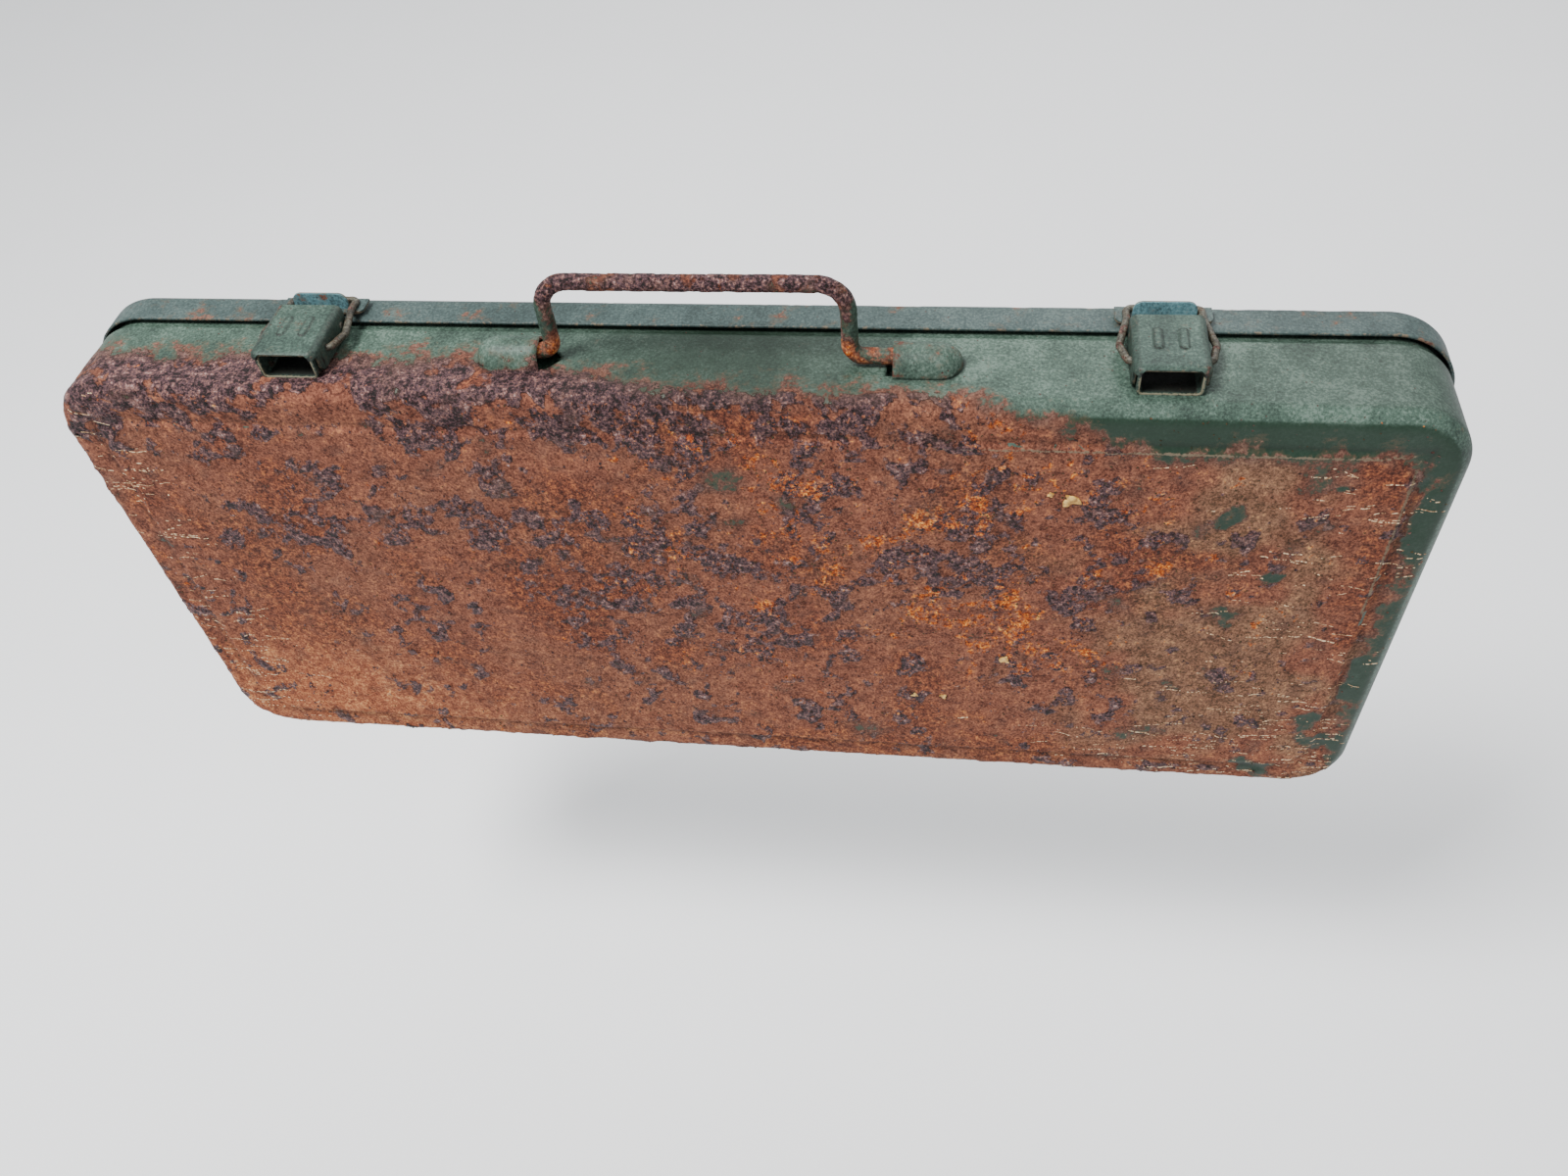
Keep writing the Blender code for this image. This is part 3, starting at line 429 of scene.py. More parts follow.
rust = np.where(bulge > 0.5, 0.14 + 0.4 * ragged + 0.25 * mouth + 0.3 * seam + 0.1 * (x < 0), rust)
# middle marks the top wall behind the handle. Painted shade darkens it there, and a few more rust specks lie
# on it.
middle = hump((x - 2 * mm, 52 * mm)) * (z > TOP_Z - 4 * mm) * (bulge < 0.5)
rust = np.where(outer, rust + 0.14 * middle, 0.18 + 0.5 * ragged)
set_field(deep_shell, "rust", np.clip(rust, 0, 1))
calm = fade(-0.02, 0.3, lumps(points, 30 * mm, 3, 15.0))
on_bend = fade(FACE_Y + 0.5 * mm, FACE_Y + 3 * mm, y) * (z > TOP_Z - 9 * mm) * (1 - fade(30 * mm, 75 * mm, x))
thick = (0.65 * plates + 0.45 * chips) * (1 - 0.7 * calm) + 0.45 * on_bend
set_field(deep_shell, "plates", np.where(outer, thick, 0) * fade(-2 * mm, 2 * mm, past))
# A painted highlight lies along the panel's crest in the rubbed-edge colour. Painted shade lies along its
# foot, round the base of each pocket and behind the handle. The right pocket and the right end of the top
# wall are darkened too.
crest_highlight = hump((inset - 14.6 * mm, 0.8 * mm)) * (y < FACE_Y + 1 * mm) * (z > 100 * mm)
foot = hump((inset - 11.9 * mm, 0.9 * mm)) * (y < FACE_Y + 1 * mm)
set_field(deep_shell, "wear_and_highlight", (0.25 + 0.45 * fade(-20 * mm, 130 * mm, x)) * crest_highlight * outer)
nose, beside = np.abs(x) - 64.5 * mm, y - POCKET_Y
off_pocket = np.where(nose < 0, np.abs(beside) - POCKET_HALF, np.hypot(nose, beside) - 6.2 * mm)
pocket_contact_shade = (hump((off_pocket, 0.6 * mm)) * (np.abs(x) > 51 * mm)
                 * (z > TOP_Z - 1 * mm) * (z < TOP_Z + 0.7 * mm))
far_right = fade(110 * mm, 195 * mm, x) * (y > FACE_Y + 4 * mm)
set_field(deep_shell, "painted_shade_and_grime", (0.35 * foot + 0.32 * middle + 0.6 * pocket_contact_shade
                                + 0.30 * far_right + 0.16 * bulge * (x > 0)) * outer)
low_left = hump((x + 165 * mm, 60 * mm), (z - 30 * mm, 45 * mm))
set_field(deep_shell, "tan", np.clip(0.62 * low_left + 0.3 * fade(90 * mm, 10 * mm, z), 0, 1))
ember = hump((x - 60 * mm, 90 * mm), (z - 110 * mm, 60 * mm))
glowing = fade(-0.15, 0.35, lumps(points, 22 * mm, 4, 21.0))
ember = np.clip((0.15 + 1.1 * ember) * (0.25 + 0.95 * glowing) - 0.3 * on_bend, 0, 1.2)
set_field(deep_shell, "ember", ember * outer)
pale = (fade(115 * mm, 185 * mm, x) * (0.45 + 0.55 * fade(75 * mm, 20 * mm, z)) * fade(168 * mm, 158 * mm, z)
        + 1.1 * fade(60 * mm, 150 * mm, x) * fade(50 * mm, 18 * mm, z)
        + 0.9 * fade(-178 * mm, -196 * mm, x + 0.10 * (z - 178 * mm)))
set_field(deep_shell, "pale", np.clip(pale, 0, 1.2) * (y < FACE_Y + 2 * mm) * outer)
olive = (0.3 + 0.5 * fade(70 * mm, 140 * mm, x)) * fade(-0.1, 0.4, lumps(points, 40 * mm, 3, 6.0) + 0.12)
set_field(deep_shell, "olive", np.clip(olive, 0, 1) * outer)
# Deep unfaded green on the face plane, and the same deep green as painted shade behind the handle.
set_field(deep_shell, "unfaded_and_shade", (fade(FACE_Y + 1.4 * mm, FACE_Y + 0.6 * mm, y) + 0.75 * middle) * outer)


def rusted_paint(name, tones, unfaded_and_shade="#14291b", spread=0.0, bare="#5e4434", gloss=0.5, flake_size=2.4 * mm):
    """Stoved enamel on mild steel. Its clouds of chalk are 34 and 8 mm across, its flakes of rust 2.4 mm
    and their grain 0.8 mm. Its fields say where it is rusted, crusted, rubbed or dirty, and where a painted
    highlight and painted shade lie.

    tones run from the paint's dirt to its chalky bloom. unfaded_and_shade is its tone where it hasn't faded,
    and also its painted shade.
    spread adds rust everywhere, bare is the colour of rubbed edges and of painted highlights, and gloss is
    the paint's roughness.
    """
    material, tree = new_material(name)
    place = add_node(tree, "ShaderNodeTexCoord").node.outputs["Object"]
    fields = {key: add_node(tree, "ShaderNodeAttribute", attribute_name=key).node.outputs["Fac"]
              for key in ("rust", "plates", "ember", "tan", "olive", "wear_and_highlight", "painted_shade_and_grime", "unfaded_and_shade")}
    drift, clump, flake, fine = (
        add_node(tree, "ShaderNodeTexNoise", {
            "Vector": place, "Scale": 1 / size, "Detail": detail, "Roughness": rough, "Distortion": twist})
        for size, detail, rough, twist in (
            (34 * mm, 3.0, 0.5, 0.0), (8 * mm, 6.0, 0.62, 0.1), (flake_size, 5.0, 0.6, 0.0),
            (0.8 * mm, 3.0, 0.7, 0.0)))
    dust = add_node(tree, "ShaderNodeTexNoise", {
        "Vector": place, "Scale": 1 / (2.2 * mm), "Detail": 5.0, "Roughness": 0.72, "Distortion": 0.2})
    sums = {}
    for key, total, parts in (
        ("reach", fields["rust"], ((clump, 0.7), (flake, 1.4), (fine, 0.5))),
        ("bloom", 0.0, ((drift, 0.24), (clump, 0.28), (fine, 0.48))),
        ("unfaded_and_shade", fields["unfaded_and_shade"], ((fields["unfaded_and_shade"], flake),)),
        ("uneven", 0.0, ((drift, 0.6), (clump, 0.4))),
        ("tan", fields["tan"], ((clump, 0.8),)),
        ("olive", fields["olive"], ((clump, 0.8),)),
        ("crust", fields["plates"], ((clump, 2.6), (flake, 0.6))),
        ("ember", 0.0, ((fields["ember"], 0.22), (dust, 1.0), (clump, 1.0))),
        ("wear_and_highlight", fields["wear_and_highlight"], ((flake, 1.0), (fine, 0.6))),
    ):
        for texture, amount in parts:
            total = add_node(tree, "ShaderNodeMath", {
                0: texture, 1: amount, 2: total}, operation="MULTIPLY_ADD")
        sums[key] = total

    # Where the paint has gone: the rust field, frayed by the noises.
    rusted = add_node(tree, "ShaderNodeMapRange", {
        "Value": sums["reach"], "From Min": 1.77 - spread, "From Max": 1.85 - spread},
        interpolation_type="SMOOTHSTEP")
    stained = add_node(tree, "ShaderNodeMapRange", {
        "Value": sums["reach"], "From Min": 1.52 - spread, "From Max": 1.80 - spread, "To Max": 0.45})

    # Paint: uneven chalking over a darker ground, unfaded where it was sheltered, deep green where shade is
    # painted behind the handle, browned near rust.
    coat = add_node(tree, "ShaderNodeValToRGB", {0: sums["bloom"]}, stops=list(
        zip((0.41, 0.47, 0.52, 0.59), tones)))
    deep = add_node(tree, "ShaderNodeMapRange", {
        "Value": sums["unfaded_and_shade"], "From Min": 0.4, "From Max": 1.4, "To Max": 0.9})
    coat = add_node(tree, "ShaderNodeMix", {0: deep, 6: coat, 7: unfaded_and_shade}, data_type="RGBA")
    coat = add_node(tree, "ShaderNodeMix", {0: stained, 6: coat, 7: "#54422f"}, data_type="RGBA")
    pinholes = add_node(tree, "ShaderNodeTexVoronoi", {"Vector": place, "Scale": 1 / (2.3 * mm)})
    pinholes = add_node(tree, "ShaderNodeMath", {0: clump, 1: -0.5, 2: pinholes}, operation="MULTIPLY_ADD")
    pinholes = add_node(tree, "ShaderNodeMapRange", {"Value": pinholes, "From Min": -0.16, "From Max": -0.22})
    coat = add_node(tree, "ShaderNodeMix", {0: pinholes, 6: coat, 7: "#452a22"}, data_type="RGBA")

    # Rust: mauve-brown scale, lighter where it is thin and powdery, olive over the last of the paint.
    crumble = add_node(tree, "ShaderNodeMix", {0: 0.5, 2: flake, 3: fine}, data_type="FLOAT")
    coarse = add_node(tree, "ShaderNodeMix", {0: 0.5, 2: clump, 3: flake}, data_type="FLOAT")
    grain = add_node(tree, "ShaderNodeMix", {0: 0.45, 2: coarse, 3: fine}, data_type="FLOAT")
    scale = add_node(tree, "ShaderNodeValToRGB", {0: grain}, stops=[
        (0.39, "#3a1c15"), (0.455, "#5d3427"), (0.50, "#734635"), (0.55, "#85533f"), (0.62, "#ad7047")])
    powder = add_node(tree, "ShaderNodeValToRGB", {0: grain}, stops=[
        (0.40, "#5c2e1d"), (0.455, "#80452c"), (0.50, "#955639"), (0.54, "#ab6b43"), (0.61, "#d19c68")])
    thin = add_node(tree, "ShaderNodeValToRGB", {0: grain}, stops=[
        (0.39, "#322d1f"), (0.455, "#57422e"), (0.50, "#70533f"), (0.55, "#82634c"), (0.62, "#aa875f")])
    uneven = add_node(tree, "ShaderNodeMapRange", {
        "Value": sums["uneven"], "From Min": 0.49, "From Max": 0.57, "To Max": 0.6},
        interpolation_type="SMOOTHSTEP")
    redder = add_node(tree, "ShaderNodeValToRGB", {0: crumble}, stops=[
        (0.41, "#280f0b"), (0.46, "#451e14"), (0.50, "#602d1e"), (0.54, "#783e26"), (0.60, "#a56234")])
    body = add_node(tree, "ShaderNodeMix", {0: uneven, 6: scale, 7: redder}, data_type="RGBA")
    for key, colour, low, high in (("tan", powder, 0.30, 1.10), ("olive", thin, 0.35, 1.35)):
        share = add_node(tree, "ShaderNodeMapRange", {"Value": sums[key], "From Min": low, "From Max": high})
        share = add_node(tree, "ShaderNodeMath", {
            0: share, 1: fields[key]}, operation="MULTIPLY", use_clamp=True)
        body = add_node(tree, "ShaderNodeMix", {0: share, 6: body, 7: colour}, data_type="RGBA")

    # Thick crust: purple-black plates with brown edges, whose lightest grains are a painted mauve-grey sheen,
    # and orange dust in and around them.
    crust = add_node(tree, "ShaderNodeMapRange", {
        "Value": sums["crust"], "From Min": 2.08, "From Max": 2.30}, interpolation_type="SMOOTHSTEP")
    plates = add_node(tree, "ShaderNodeValToRGB", {0: crumble}, stops=[
        (0.40, "#0a0505"), (0.45, "#200f0f"), (0.485, "#3a2122"), (0.515, "#4b373e"), (0.545, "#5c3e38"),
        (0.58, "#775148"), (0.64, "#9a807c")])
    body = add_node(tree, "ShaderNodeMix", {0: crust, 6: body, 7: plates}, data_type="RGBA")
    embers = add_node(tree, "ShaderNodeMapRange", {
        "Value": sums["ember"], "From Min": 1.24, "From Max": 1.33, "To Max": 0.95},
        interpolation_type="SMOOTHSTEP")
    orange = add_node(tree, "ShaderNodeValToRGB", {0: crumble}, stops=[
        (0.41, "#4a1c09"), (0.48, "#8f3d11"), (0.54, "#bd661d"), (0.61, "#e2a555")])
    body = add_node(tree, "ShaderNodeMix", {0: embers, 6: body, 7: orange}, data_type="RGBA")

    # Young rust is browner. Rubbed edges show the primer and also carry painted highlights, and dirt and
    # painted shade cover them all.
    young = add_node(tree, "ShaderNodeMapRange", {
        "Value": fields["rust"], "From Min": 0.95, "From Max": 0.55, "To Max": 0.9})
    bruise = add_node(tree, "ShaderNodeValToRGB", {0: grain}, stops=[
        (0.40, "#2b1a17"), (0.50, "#4d342c"), (0.62, "#70554a")])
    body = add_node(tree, "ShaderNodeMix", {0: young, 6: body, 7: bruise}, data_type="RGBA")
    colour = add_node(tree, "ShaderNodeMix", {0: rusted, 6: coat, 7: body}, data_type="RGBA")
    worn = add_node(tree, "ShaderNodeMapRange", {
        "Value": sums["wear_and_highlight"], "From Min": 1.28, "From Max": 1.42, "To Max": 0.9})
    rubbed = add_node(tree, "ShaderNodeMix", {0: fine, 6: bare, 7: "#716c59"}, data_type="RGBA")
    colour = add_node(tree, "ShaderNodeMix", {0: worn, 6: colour, 7: rubbed}, data_type="RGBA")
    colour = add_node(tree, "ShaderNodeMix", {0: fields["painted_shade_and_grime"], 6: colour, 7: "#14110f"}, data_type="RGBA")

    # Relief too fine for the mesh, in millimetres, and dull rust beside the half-dull paint.
    rough_rust = add_node(tree, "ShaderNodeMath", {0: crust, 1: 0.5, 2: 0.75}, operation="MULTIPLY_ADD")
    height = add_node(tree, "ShaderNodeMath", {0: crumble, 1: rough_rust}, operation="MULTIPLY")
    height = add_node(tree, "ShaderNodeMath", {0: crust, 1: 0.15, 2: height}, operation="MULTIPLY_ADD")
    film = add_node(tree, "ShaderNodeMath", {0: fine, 1: 0.05, 2: 0.42}, operation="MULTIPLY_ADD")
    film = add_node(tree, "ShaderNodeMath", {0: pinholes, 1: -0.1, 2: film}, operation="MULTIPLY_ADD")
    height = add_node(tree, "ShaderNodeMix", {0: rusted, 2: film, 3: height}, data_type="FLOAT")
    bump = add_node(tree, "ShaderNodeBump", {"Height": height, "Distance": mm})
    dull = add_node(tree, "ShaderNodeMath", {0: crust, 1: -0.32, 2: 0.9}, operation="MULTIPLY_ADD")
    rough = add_node(tree, "ShaderNodeMix", {0: rusted, 2: gloss, 3: dull}, data_type="FLOAT")
    surface = add_node(tree, "ShaderNodeBsdfPrincipled", {
        "Base Color": colour, "Roughness": rough, "Normal": bump, "IOR": 1.5, "Specular IOR Level": 0.22})
    add_node(tree, "ShaderNodeOutputMaterial", {"Surface": surface})
    return material


def coat_with(piece, material):
    piece.data.materials.clear()
    piece.data.materials.append(material)
    piece.data.polygons.foreach_set("material_index", [0] * len(piece.data.polygons))


# Stoved green enamel: half dull and chalky where it is left, matt orange-brown crust where it isn't.
coat_with(deep_shell, rusted_paint(
    "rusted_green_enamel_on_pressed_steel", ("#27342d", "#37483e", "#405348", "#5a6b60")))
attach(deep_shell, "case")
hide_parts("deep_shell")

# ---------------------------------------------------------------- lid shell
# The shallow half, pressed from the same sheet with the same raised panel. Its wall stands 1.2 mm
# outside the deep shell's and leaves a dark gap over the nested rims. Its enamel has faded grey.
LID_FACE, LID_WALL, LID_BEND = PARTING_Y + 15 * mm, -1.2 * mm, 4.5 * mm


def lid_relief(points):
    """Slight dents in the lid, and pitting where rust has broken through."""
    return mm * (0.04 + 0.10 * np.clip(lumps(points, 55 * mm, 2, 8.0), 0, 1)
                 + 0.12 * fade(0.25, 0.5, lumps(points, 8 * mm, 4, 12.0)))


LID_RIM, EASED = PARTING_Y + 1.5 * mm, 0.15 * mm
RIM = [(LID_WALL, PARTING_Y + 1.7 * mm), (LID_WALL + EASED, LID_RIM)]
INNER_RIM = [(LID_WALL + SHEET, PARTING_Y + 1.7 * mm), (LID_WALL + SHEET - EASED, LID_RIM)]
outside = sheet_rings(LID_WALL, LID_BEND, LID_FACE, 1, RIM, True)
inner_rings = sheet_rings(LID_WALL + SHEET, LID_BEND - SHEET, LID_FACE - SHEET, 1, INNER_RIM, False)
inner_rings = [(inset if inset < 9 * mm else inset - SHEET, y, radius) for inset, y, radius in inner_rings]
lid_shell = pressed_shell("lid_pressing", outside, inner_rings[::-1], lid_relief)

# The lid's rim is notched over each hinge.
points, faces = [], []
middle, half = PARTING_Y + 0.75 * mm, 2 * mm
for word in ("left", "right"):
    low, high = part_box("hinge_lid_leaf_" + word)
    start = len(points)
    points += [(px, py, pz) for pz in (BASE_Z - 3 * mm, BASE_Z + 0.4 * mm)
               for px, py in ((low.x, middle - half), (high.x, middle - half),
                              (high.x, middle + half), (low.x, middle + half))]
    faces += tube_faces(2, 4, start)
cut_or_join(lid_shell, mesh_piece("notches", points, faces, smooth=False), "DIFFERENCE")

points = places_of(lid_shell)
outer = field_of(lid_shell, "inner") < 0.5
x, y, z = points.T
ragged = lumps(points, 8 * mm, 5, 12.0)
on_back = fade(LID_FACE - 4 * mm, LID_FACE, y) * fade(0.0, 0.4, lumps(points, 45 * mm, 3, 2.5))
rust = 0.07 + 0.45 * ragged + 0.08 * fade(0, -150 * mm, x) + 0.18 * on_back
set_field(lid_shell, "rust", np.clip(np.where(outer, rust, 0.12 + 0.45 * ragged), 0, 1))
# The rim is rubbed. Along the panel's crest the rubbed colour is a painted highlight, and along its foot a
# dark line is painted shade.
rim_wear = fade(1.2 * mm, 0.2 * mm, y - LID_RIM)
inset = near_side(points)[0]
on_panel = (y > LID_FACE - 1 * mm) * outer
crest_highlight = hump((inset - 13.4 * mm, 0.8 * mm)) * fade(-0.5, 0.4, lumps(points, 30 * mm, 3, 17.0))
set_field(lid_shell, "wear_and_highlight", 0.45 * rim_wear + 0.55 * crest_highlight * on_panel)
set_field(lid_shell, "painted_shade_and_grime", 0.4 * hump((inset - 10.7 * mm, 1.0 * mm)) * on_panel)
# The same enamel, which has weathered instead of rusting: greyer, with an even chalky bloom.
lid_enamel = rusted_paint("faded_grey_green_enamel", ("#293432", "#354240", "#3b4947", "#4f5c58"))
coat_with(lid_shell, lid_enamel)
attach(lid_shell, "lid")
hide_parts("lid_shell")

# ---------------------------------------------------------------- loose rust
# Crumbs and small flakes of rust that have lifted off the face and still cling to it. They are
# scattered over the panel and lie thickest where the rust has built up in plates.


def scatter_group(name, wanted):
    """A Geometry Nodes group that takes a surface and the wanted values, its inputs as sockets to
    link from, and their identifiers."""
    tree = bpy.data.node_groups.new(name + "_nodes", "GeometryNodeTree")
    tree.interface.new_socket(name="Surface", in_out="INPUT", socket_type="NodeSocketGeometry")
    sockets = {key: tree.interface.new_socket(
        name=key, in_out="INPUT", socket_type="NodeSocketFloat").identifier for key in wanted}
    tree.interface.new_socket(name="Made", in_out="OUTPUT", socket_type="NodeSocketGeometry")
    return tree, tree.nodes.new("NodeGroupInput").outputs, sockets


def scattered(name, surface, tree, made, sockets, wanted, film=0.0):
    """What a group makes of a surface, as one plain mesh, thickened to a film if that is asked for."""
    tree.links.new(made, tree.nodes.new("NodeGroupOutput").inputs[0])
    piece = bpy.data.objects.new(name, surface)
    bpy.context.scene.collection.objects.link(piece)
    modifier = piece.modifiers.new("scatter", "NODES")
    modifier.node_group = tree
    for key, value in wanted.items():
        modifier[sockets[key]] = value
    if film:
        skin = piece.modifiers.new("film", "SOLIDIFY")
        skin.thickness, skin.offset = film, 0.0
    bake(piece)
    return piece


def scatter_crumbs(name, source, field, material, density, size, seed):
    """Crumbs stood on a surface by Geometry Nodes, as one plain mesh."""
    wanted = {"Density": density, "Crumb Size": size}
    tree, given, sockets = scatter_group(name, wanted)
    share = add_node(tree, "GeometryNodeInputNamedAttribute", {"Name": field}, data_type="FLOAT")
    amount = add_node(tree, "ShaderNodeMath", {0: share, 1: given["Density"]}, operation="MULTIPLY")
    spots = add_node(tree, "GeometryNodeDistributePointsOnFaces", {
        "Mesh": given["Surface"], "Density": amount, "Seed": seed}, distribute_method="RANDOM")
    crumb = add_node(tree, "GeometryNodeMeshIcoSphere", {"Radius": given["Crumb Size"], "Subdivisions": 1})
    sizes = add_node(tree, "FunctionNodeRandomValue", {
        0: (0.45, 0.45, 0.20), 1: (1.9, 1.5, 0.5), "Seed": seed + 1}, data_type="FLOAT_VECTOR")
    tilt = add_node(tree, "FunctionNodeRandomValue", {
        0: (-0.6, -0.6, 0.0), 1: (0.6, 0.6, 6.28), "Seed": seed + 2}, data_type="FLOAT_VECTOR")
    turned = add_node(tree, "FunctionNodeRotateRotation", {
        0: spots.node.outputs["Rotation"], 1: tilt}, rotation_space="LOCAL")
    stood = add_node(tree, "GeometryNodeInstanceOnPoints", {
        "Points": spots, "Instance": crumb, "Rotation": turned, "Scale": sizes})
    whole = add_node(tree, "GeometryNodeRealizeInstances", {"Geometry": stood})
    chip = add_node(tree, "ShaderNodeTexNoise", {"Scale": 1 / (0.8 * mm), "Detail": 2.0})
    push = add_node(tree, "ShaderNodeVectorMath", {
        0: chip.node.outputs["Color"], 1: (0.5, 0.5, 0.5)}, operation="SUBTRACT")
    push = add_node(tree, "ShaderNodeVectorMath", {
        0: push, 1: (0.7 * mm, 0.25 * mm, 0.7 * mm)}, operation="MULTIPLY")
    whole = add_node(tree, "GeometryNodeSetPosition", {"Geometry": whole, "Offset": push})
    whole = add_node(tree, "GeometryNodeSetMaterial", {"Geometry": whole, "Material": material})
    return scattered(name, source, tree, whole, sockets, wanted)


def panel_copy(piece):
    """The face of a shell alone, with its fields, as a mesh to scatter on."""
    source = piece.data.copy()
    work = bmesh.new()
    work.from_mesh(source)
    largest = (3 * mm) ** 2
    gone = [face for face in work.faces if face.normal.y > -0.4
            or face.calc_center_median().y > FACE_Y + 1.5 * mm or face.calc_area() > largest]
    bmesh.ops.delete(work, geom=gone, context="FACES")
    work.to_mesh(source)
    work.free()
    return source


face_sheet = panel_copy(deep_shell)
# Old scale that has sprung off the steel: purple-brown to black, with a faint sheen on its plates.
crumb_rust = rusted_paint("flaked_iron_oxide", ("#2a1715", "#4a2c29", "#5f3a31", "#7a4d38"), spread=1.5)
# Fresh hydrated rust: a bright orange powder with no shine.
ember_rust = rusted_paint(
    "powdery_orange_rust", ("#5e2a14", "#8a4019", "#a35524", "#c27c3c"), spread=-1.5, gloss=0.9)
for name, field, material, density, size, seed in (
    ("rust_flakes", "plates", crumb_rust, 2.6e5, 0.42 * mm, 5),
    ("rust_crumbs", "ember", ember_rust, 0.75e5, 0.30 * mm, 11),
):
    crumbs = scatter_crumbs(name, face_sheet, field, material, density, size, seed)
    low = -24.42 * mm
    points = places_of(crumbs)
    points[:, 1] = np.maximum(points[:, 1], low)
    crumbs.data.vertices.foreach_set("co", points.ravel())
    thick = 0.9 * (lumps(points, 9 * mm, 2) > -0.1) if field == "plates" else np.zeros(len(points))
    set_field(crumbs, "plates", thick)
    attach(crumbs, "case")

# ---------------------------------------------------------------- scrapes and paint chips
# Broken scrapes through to pale primer, thickest by the right edge and along the left one, and
# five chips of cream paint stuck to the rust. Each lies on the surface it marks.

# Dry primer, ground to a pale powder: chalky, with rust showing through it every 0.8 mm.
primer, tree = new_material("scraped_pale_primer")
grit = add_node(tree, "ShaderNodeTexNoise", {
    "Vector": add_node(tree, "ShaderNodeTexCoord").node.outputs["Object"],
    "Scale": 1 / (0.8 * mm), "Detail": 3.0})
powdery = add_node(tree, "ShaderNodeValToRGB", {0: grit}, stops=[
    (0.38, "#7d5537"), (0.5, "#b08d68"), (0.6, "#d3bd9b")])
bump = add_node(tree, "ShaderNodeBump", {"Height": grit, "Distance": 0.1 * mm})
surface = add_node(tree, "ShaderNodeBsdfPrincipled", {
    "Base Color": powdery, "Roughness": 0.85, "Normal": bump})
add_node(tree, "ShaderNodeOutputMaterial", {"Surface": surface})

wanted = {"Density": 2.6e4, "Length": 11 * mm, "Width": 0.30 * mm}
tree, given, sockets = scatter_group("scrapes", wanted)
share = add_node(tree, "GeometryNodeInputNamedAttribute", {"Name": "pale"}, data_type="FLOAT")
amount = add_node(tree, "ShaderNodeMath", {0: share, 1: given["Density"]}, operation="MULTIPLY")
spots = add_node(tree, "GeometryNodeDistributePointsOnFaces", {
    "Mesh": given["Surface"], "Density": amount, "Seed": 3})
sliver = add_node(tree, "GeometryNodeMeshGrid", {
    "Size X": given["Length"], "Size Y": given["Width"], "Vertices X": 48, "Vertices Y": 2})
turned = add_node(tree, "FunctionNodeRandomValue", {
    0: (pi / 2, -0.24, 0.0), 1: (pi / 2, 0.30, 0.0), "Seed": 4}, data_type="FLOAT_VECTOR")
sizes = add_node(tree, "FunctionNodeRandomValue", {
    0: (0.08, 0.5, 1.0), 1: (1.3, 1.3, 1.0), "Seed": 5}, data_type="FLOAT_VECTOR")
laid = add_node(tree, "GeometryNodeInstanceOnPoints", {
    "Points": spots, "Instance": sliver, "Rotation": turned, "Scale": sizes})
laid = add_node(tree, "GeometryNodeRealizeInstances", {"Geometry": laid})
waver = add_node(tree, "ShaderNodeTexNoise", {"Scale": 1 / (7 * mm), "Detail": 3.0}).node.outputs["Color"]
waver = add_node(tree, "ShaderNodeVectorMath", {0: waver, 1: (0.5, 0.5, 0.5)}, operation="SUBTRACT")
waver = add_node(tree, "ShaderNodeVectorMath", {0: waver, 1: (0, 0, 3.5 * mm)}, operation="MULTIPLY")
laid = add_node(tree, "GeometryNodeSetPosition", {"Geometry": laid, "Offset": waver})
skips = add_node(tree, "ShaderNodeTexNoise", {"Scale": 1 / (1.6 * mm), "Detail": 2.0})
skips = add_node(tree, "FunctionNodeCompare", {0: skips, 1: 0.49}, data_type="FLOAT", operation="LESS_THAN")
laid = add_node(tree, "GeometryNodeDeleteGeometry", {"Geometry": laid, "Selection": skips}, domain="FACE")
above = add_node(tree, "ShaderNodeVectorMath", {
    0: add_node(tree, "GeometryNodeInputPosition"), 1: (0, -20 * mm, 0)}, operation="ADD")
ray = add_node(tree, "GeometryNodeRaycast", {
    "Target Geometry": given["Surface"], "Source Position": above, "Ray Direction": (0, 1, 0),
    "Ray Length": 60 * mm}).node
missed = add_node(tree, "FunctionNodeBooleanMath", {0: ray.outputs["Is Hit"]}, operation="NOT")
down = add_node(tree, "ShaderNodeVectorMath", {
    0: ray.outputs["Hit Position"], 1: (0, -0.03 * mm, 0)}, operation="ADD")
laid = add_node(tree, "GeometryNodeSetPosition", {"Geometry": laid, "Position": down})
laid = add_node(tree, "GeometryNodeDeleteGeometry", {"Geometry": laid, "Selection": missed}, domain="POINT")
laid = add_node(tree, "GeometryNodeSetMaterial", {"Geometry": laid, "Material": primer})
scrapes = scattered("scrapes", face_sheet, tree, laid, sockets, wanted, film=0.05 * mm)
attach(scrapes, "case")

# Oil paint splashed on and cracked off again: yellowed cream with a soft sheen, dirty every 1.5 mm.
cream, tree = new_material("cream_gloss_paint_chip")
grit = add_node(tree, "ShaderNodeTexNoise", {
    "Vector": add_node(tree, "ShaderNodeTexCoord").node.outputs["Object"],
    "Scale": 1 / (1.5 * mm), "Detail": 4.0})
shade = add_node(tree, "ShaderNodeValToRGB", {0: grit}, stops=[
    (0.35, "#8a6222"), (0.5, "#b98c3f"), (0.62, "#d3ae62")])
bump = add_node(tree, "ShaderNodeBump", {"Height": grit, "Distance": 0.2 * mm})
surface = add_node(tree, "ShaderNodeBsdfPrincipled", {"Base Color": shade, "Roughness": 0.55, "Normal": bump})
add_node(tree, "ShaderNodeOutputMaterial", {"Surface": surface})
points, faces, corners = [], [], 14
